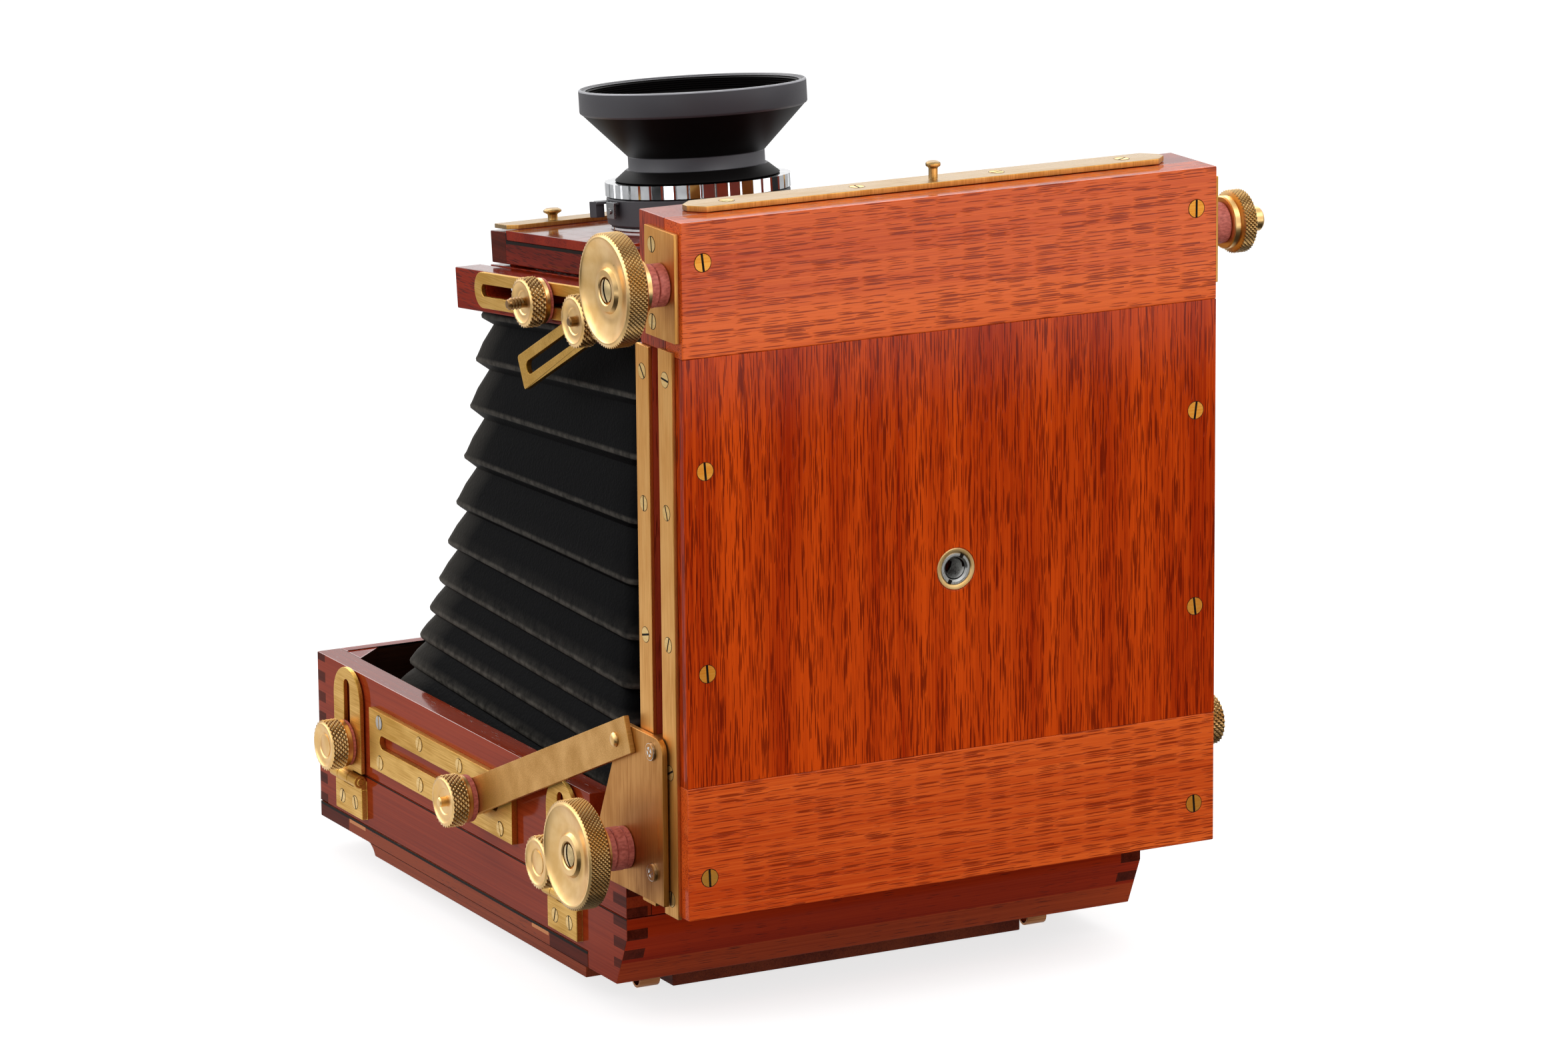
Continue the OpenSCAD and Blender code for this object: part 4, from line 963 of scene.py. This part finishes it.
black_leather = leather("leather_black")
spans = [
    (0, valleys[1], "lens_stage", "front_standard"),
    (valleys[1], valleys[2], "front_standard", "front_slide"),
    (valleys[2], valleys[4], "front_slide", "bed"),
    (valleys[4], valleys[8], "bed", "rear_carriage"),
    (valleys[8], len(rings) - 1, "rear_carriage", "rear_frame"),
]
side_cuts = 9
wobble = random.Random(11)
waves = [[wobble.uniform(-1, 1) for _ in range(6)] for _ in rings]
for number, (first, last, body_a, body_b) in enumerate(spans, 1):
    bm = bmesh.new()
    fold = bm.verts.layers.float.new("fold")
    painted_corner_sheen = bm.verts.layers.float.new("painted_corner_sheen")
    previous = None
    for index in range(first, last + 1):
        y, z, half, tilt, corner, rub_and_sheen = rings[index]
        made = bmesh.ops.create_circle(bm, cap_ends=True, segments=4, radius=half * math.sqrt(2) * mm)
        square = made["verts"]
        bmesh.ops.rotate(bm, verts=square, cent=(0, 0, 0), matrix=Matrix.Rotation(math.radians(45), 3, "Z"))
        bmesh.ops.bevel(bm, geom=square, offset=corner * mm, offset_type="OFFSET", affect="VERTICES",
                        segments=4, profile=0.5, material=-1)
        card = next(f for f in bm.faces if len(f.verts) > 4)
        long = [e for e in card.edges if e.calc_length() > half * mm]
        bmesh.ops.subdivide_edges(bm, edges=long, cuts=side_cuts)
        loop_face = next(f for f in bm.faces if len(f.verts) > 4)
        verts = list(loop_face.verts)
        edges = list(loop_face.edges)
        bmesh.ops.delete(bm, geom=[loop_face], context="FACES_ONLY")
        wave = waves[index]
        turned_to = Matrix.Translation(at(0, y, z)) @ Matrix.Rotation(math.radians(-tilt), 4, "X")
        for v in verts:
            around = math.atan2(v.co.y, v.co.x)
            # Painted sheen: how near the point lies to the back-left corner.
            v[painted_corner_sheen] = max(0, 1 - (v.co.xy - Vector((-half, half)) * mm).length / (16 * mm))
            if 1 < index < len(rings) - 1:
                v.co.y -= front_reach * mm * (1 - v.co.y / (half * mm)) / 2
            ripple = sum(wave[k] * math.sin((k + 1) * around + 7 * wave[k]) for k in range(5))
            v.co *= 1 + ripple * (0.0006 if 1 < index < len(rings) - 1 else 0)
            v[fold] = rub_and_sheen
            v.co = turned_to @ v.co
        if previous:
            bmesh.ops.bridge_loops(bm, edges=previous + edges)
        previous = edges
    bmesh.ops.recalc_face_normals(bm, faces=bm.faces)
    part = piece("bellows_part_%d" % number, bm, black_leather, None, sharp=50)
    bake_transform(part)
    if number == 1:
        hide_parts("bellows")

# The rear carriage: two triangular brass brackets with their runners, joined by the rear drive's
# shaft, with its big knob and three fibre washers on the left and a lock knob on the right.
bracket_face = bed_half + 3.5
rear_y = 35
rear_z = 15.3
dressed("rear_shaft", 0.05, steel_plain)
focusing_knob("rear_knob.dressed", (-bracket_face - 8.8, rear_y, rear_z), 4.3, 8.7, 7.1, 17, "rear_drive",
              "rear_knob")
washer("rear_washer_1", bracket_face + 0.05, 2.15, 6.6, rear_y, rear_z, -1, "rear_drive", "rear_washers")
washer("rear_washer_2", bracket_face + 2.25, 3.45, 6.75, rear_y, rear_z, -1, "rear_drive")
washer("rear_washer_3", bracket_face + 5.8, 2.95, 6.6, rear_y, rear_z, -1, "rear_drive")
clamp_knob("rear_lock_knob", (bracket_face + 0.05, 25.5, 31.4), 1, 1.6, 3, 7, 8.2, 1.2, "rear_lock")
zinc = steel("zinc_plated", "#d9d9d6", 0.22)
heads_of(
    "bracket_screws",
    [((side * bracket_face, 16.6, z), (side, 0, 0), dice.uniform(20, 70))
     for side in (-1, 1) for z in (11.9, 49.6)],
    2.7, zinc, "rear_carriage", 0.8, cross=True, dome=0.15,
)

# The rear frame: a finger-jointed box of dark mahogany under gloss lacquer. Slotted brass plates on
# its sides take the clamp knobs of the struts.
frame_wood = wood("mahogany_dark_side", "Y", "#a03a1a", "#80260e", "#4c170c", 5, 0.14, 0.9, 14, 0.35)
# The end boards' own wood, its grain across, with its colour also brightened as painted light for the near
# end, which lies in the bed's shade.
end_wood_painted_light = wood("mahogany_end_painted_light", "X", "#a8300f", "#821a05", "#3f0f07", 5, 0.18, 0.9, 14, 0.3)
side_x = 91.3
near_y = 43.4
far_y = 273
seam_z = -10.4
stain = wood("mahogany_black_stain", "X", "#2e180e", "#22110a", "#120805", 5, 0.24, 0.3)
finger = 3.5
first_finger = -3.6
side_wall = 7.2
near_wall = 9.2
far_wall = 6.2


def inlay(bm, low, high, look, number):
    """Cuts a rectangle out of the flat faces that look along an axis and gives it another finish."""
    a = at(*low)
    b = at(*high)
    look = Vector(look)
    flat = [i for i in range(3) if abs(look[i]) < 0.5]
    depth = 3 - sum(flat)
    bm.normal_update()
    for i in flat:
        normal = Vector((0, 0, 0))
        normal[i] = 1
        for edge in (a[i], b[i]):
            cut = set()
            for f in bm.faces:
                reach = [(min(v.co[j] for v in f.verts), max(v.co[j] for v in f.verts)) for j in flat]
                crossed = all(low < b[j] and high > a[j] for j, (low, high) in zip(flat, reach))
                if crossed and f.normal.dot(look) > 0.9 and abs(f.verts[0].co[depth] - a[depth]) < 9 * mm:
                    cut |= {f, *f.edges, *f.verts}
            bmesh.ops.bisect_plane(bm, geom=list(cut), dist=1e-6, plane_co=normal * edge, plane_no=normal)
    for f in bm.faces:
        c = f.calc_center_median()
        if f.normal.dot(look) > 0.9 and abs(c[depth] - a[depth]) < 9 * mm:
            if all(a[j] < c[j] < b[j] for j in flat):
                f.material_index = number


def fingers(bm, bottom, top, number):
    """The corner joints: end grain of the side boards and of the end boards by turns, finger by finger."""
    for k in range(-8, 7):
        high = min(first_finger - k * finger, top)
        low = max(first_finger - (k + 1) * finger, bottom)
        if low >= high:
            continue
        for side in (-1, 1):
            x = side * side_x
            if k % 2:
                x0, x1 = sorted((x, x - side * side_wall))
                inlay(bm, (x0, near_y, low), (x1, near_y, high), (0, -1, 0), number)
                inlay(bm, (x0, far_y, low), (x1, far_y, high), (0, 1, 0), number)
            else:
                inlay(bm, (x, near_y, low), (x, near_y + near_wall, high), (side, 0, 0), number)
                inlay(bm, (x, far_y - far_wall, low), (x, far_y, high), (side, 0, 0), number)


def box_sides(bm):
    """Inside stained black, finger joints at the corners."""
    bm.normal_update()
    for f in bm.faces:
        c = f.calc_center_median()
        inward = abs(c.x) < (side_x - 5) * mm and c.z > at(0, 0, seam_z + 2).z and f.normal.z < 0.5
        if inward and at(0, 70, 0).y < c.y < at(0, far_y - 1, 0).y:
            f.material_index = 1
    fingers(bm, seam_z, 23.5, 2)


def box_ends(bm):
    """As the sides, with the corner blocks' tops planed flush with the frame."""
    for v in bm.verts:
        if abs(v.co.z - at(0, 0, 20.5).z) < 0.1 * mm and v.co.y > at(0, far_y - 20, 0).y:
            v.co.z = at(0, 0, 23.48).z
    box_sides(bm)


dressed("frame_sides", 0.35, [frame_wood, stain, end_grain], box_sides)
dressed("frame_ends", 0.35, [end_wood_painted_light, stain, end_grain], box_ends)
dressed("pivot_ears", 0.15, strip_brass)
plate_heads = []
for side in (-1, 1):
    for y in (128.4, 158.3, 188.5, 219.5):
        for z in (-2.2, 11.4):
            plate_heads.append(((side * plate_face, y, z), (side, 0, 0), dice.uniform(-25, 25)))
odd = plate_heads.pop(7)
heads_of("slot_plate_screws", plate_heads, 2.3, light_brass, "rear_frame", 0.2)
heads_of("slot_plate_odd_screw", [odd], 2.3, steel_plain, "rear_frame", 0.2)
strut_brass = brass("brass_strut", "#d6a45e", "#b4843e", "X", 0.42)
for side, name in ((-1, "left"), (1, "right")):
    dressed("strut_" + name, 0.2, strut_brass)
    turned(
        "strut_rivet_" + name,
        [(0, 2.3), (0.4, 2.25), (0.85, 1.9), (1.15, 1.4), (1.3, 0.7), (1.35, 0)],
        (side * strut_face, rivet_y, rivet_z), (side, 0, 0), knob_brass, "rear_carriage", steps=32,
    )
    clamp_knob("strut_knob_" + name, (side * (strut_face + 0.05), 142.9, 4.95), side, 1.8, 1.7, 5.9, 8.5,
               1.4, "strut_knob_" + name)

# The back: slotted brass links with hinges hold it to the frame, and four clamp knobs lock them.
# Below is the lower frame, the reversible back with its springs, and the ground-glass frame.
for side, name in ((-1, "left"), (1, "right")):
    dressed("links_" + name, 0.2, plate_brass)
    for y, place in ((84.6, "near"), (245.2, "far")):
        knob_name = "link_knob_%s_%s" % (place, name)
        clamp_knob(knob_name, (side * (plate_face + 0.05), y, -1.2), side, 1.1, 1.9, 5.8, 8.5, 0.1, knob_name)

slope_top = -17
slope_foot = (51, -33.2)
edge_strip_z = -25.8
strip_wood = wood("mahogany_edge_strip", "X", "#b8481c", "#96320e", "#4c1508", 5, 0.24, 0.9, 14, 0.4)


def lower_frame(bm):
    """The near end slopes in below. Hinge plates are brass, the corners are finger jointed, and a painted
    shadow line runs along the top of each side, at the seam under the frame.
    """
    top = at(0, near_y, slope_top)
    foot = at(0, *slope_foot)
    bmesh.ops.bisect_plane(bm, geom=bm.verts[:] + bm.edges[:] + bm.faces[:], dist=1e-6, plane_co=top,
                           plane_no=(0, 0, 1))
    for v in bm.verts:
        if v.co.z < top.z and abs(v.co.x) <= (side_x + 0.01) * mm:
            v.co.y = max(v.co.y, top.y + (foot.y - top.y) * (top.z - v.co.z) / (top.z - foot.z))
    bmesh.ops.remove_doubles(bm, verts=bm.verts, dist=1e-5)
    bm.normal_update()
    for face in bm.faces:
        # Faces that look along y get the end boards' wood, brightened as painted light.
        if abs(face.normal.y) > 0.7:
            face.material_index = 3
        if abs(face.calc_center_median().x) > (side_x + 0.02) * mm:
            face.material_index = 1
    inlay(bm, (-side_x, near_y, slope_foot[1]), (side_x, near_y, edge_strip_z), (0, -1, 0), 4)
    fingers(bm, slope_foot[1] + 5.6, seam_z - 0.2, 2)
    # Painted shadow: a black band along the seam under the frame.
    for side in (-1, 1):
        inlay(bm, (side * side_x, near_y, seam_z - 0.7), (side * side_x, far_y, seam_z), (side, 0, 0), 5)


back_finishes = [frame_wood, plate_brass, end_grain, end_wood_painted_light, strip_wood, shadow_black]
dressed("back_frame", 0.3, back_finishes, lower_frame)
back_wood = wood("mahogany_back", "Y", "#94401f", "#702810", "#3c0f08", 5, 0.24, 0.9, 12, 0.3)
spline_wood = finish("boxwood_spline", {"Base Color": linear("#c87a3c"), "Roughness": 0.5})[0]
back_top = -27.9
back_low = -33.2
gap = 1


def back_joints(bm):
    """Dark end pieces, pale splines in their mitres, and a painted shadow in the gap above."""
    for side in (-1, 1):
        look = (side, 0, 0)
        x = side * side_x
        # Painted shadow: a black band, gap mm high, at the top of each side.
        inlay(bm, (x, 71, back_top - gap), (x, far_y, back_top), look, 3)
        for y0, y1 in ((71, 98.1), (250.2, far_y)):
            inlay(bm, (x, y0, back_low), (x, y1, back_top - gap), look, 1)
        for y0, y1 in ((98.7, 110.8), (237, 249.7)):
            inlay(bm, (x, y0, -30), (x, y1, -28.8), look, 2)


dressed("back_panel", 0.3, [back_wood, end_grain, spline_wood, shadow_black], back_joints)
copper = brass("spring_bronze", "#c98a5c", "#9a5f38", "X", 0.28)
dressed("back_springs", 0.1, copper)
dressed("glass_frame", 0.4, back_wood)
ground, tree, shader = finish("ground_glass", {"Base Color": linear("#cfd8d6"), "Roughness": 0.55, "IOR": 1.5,
                                               "Transmission Weight": 0.4})
bump(tree, shader, noise(tree, "X", 0.4, 0.4, 3), 0.4, 0.03)
dressed("focus_glass", 0.1, ground)
link_heads = []
for side in (-1, 1):
    for y in (84.6, 245.2):
        for dy in (-5, 5):
            link_heads.append(((side * plate_face, y + dy, -20.6), (side, 0, 0), dice.uniform(-20, 20)))
heads_of("hinge_screws", link_heads, 2.2, light_brass, "back", 0.08)
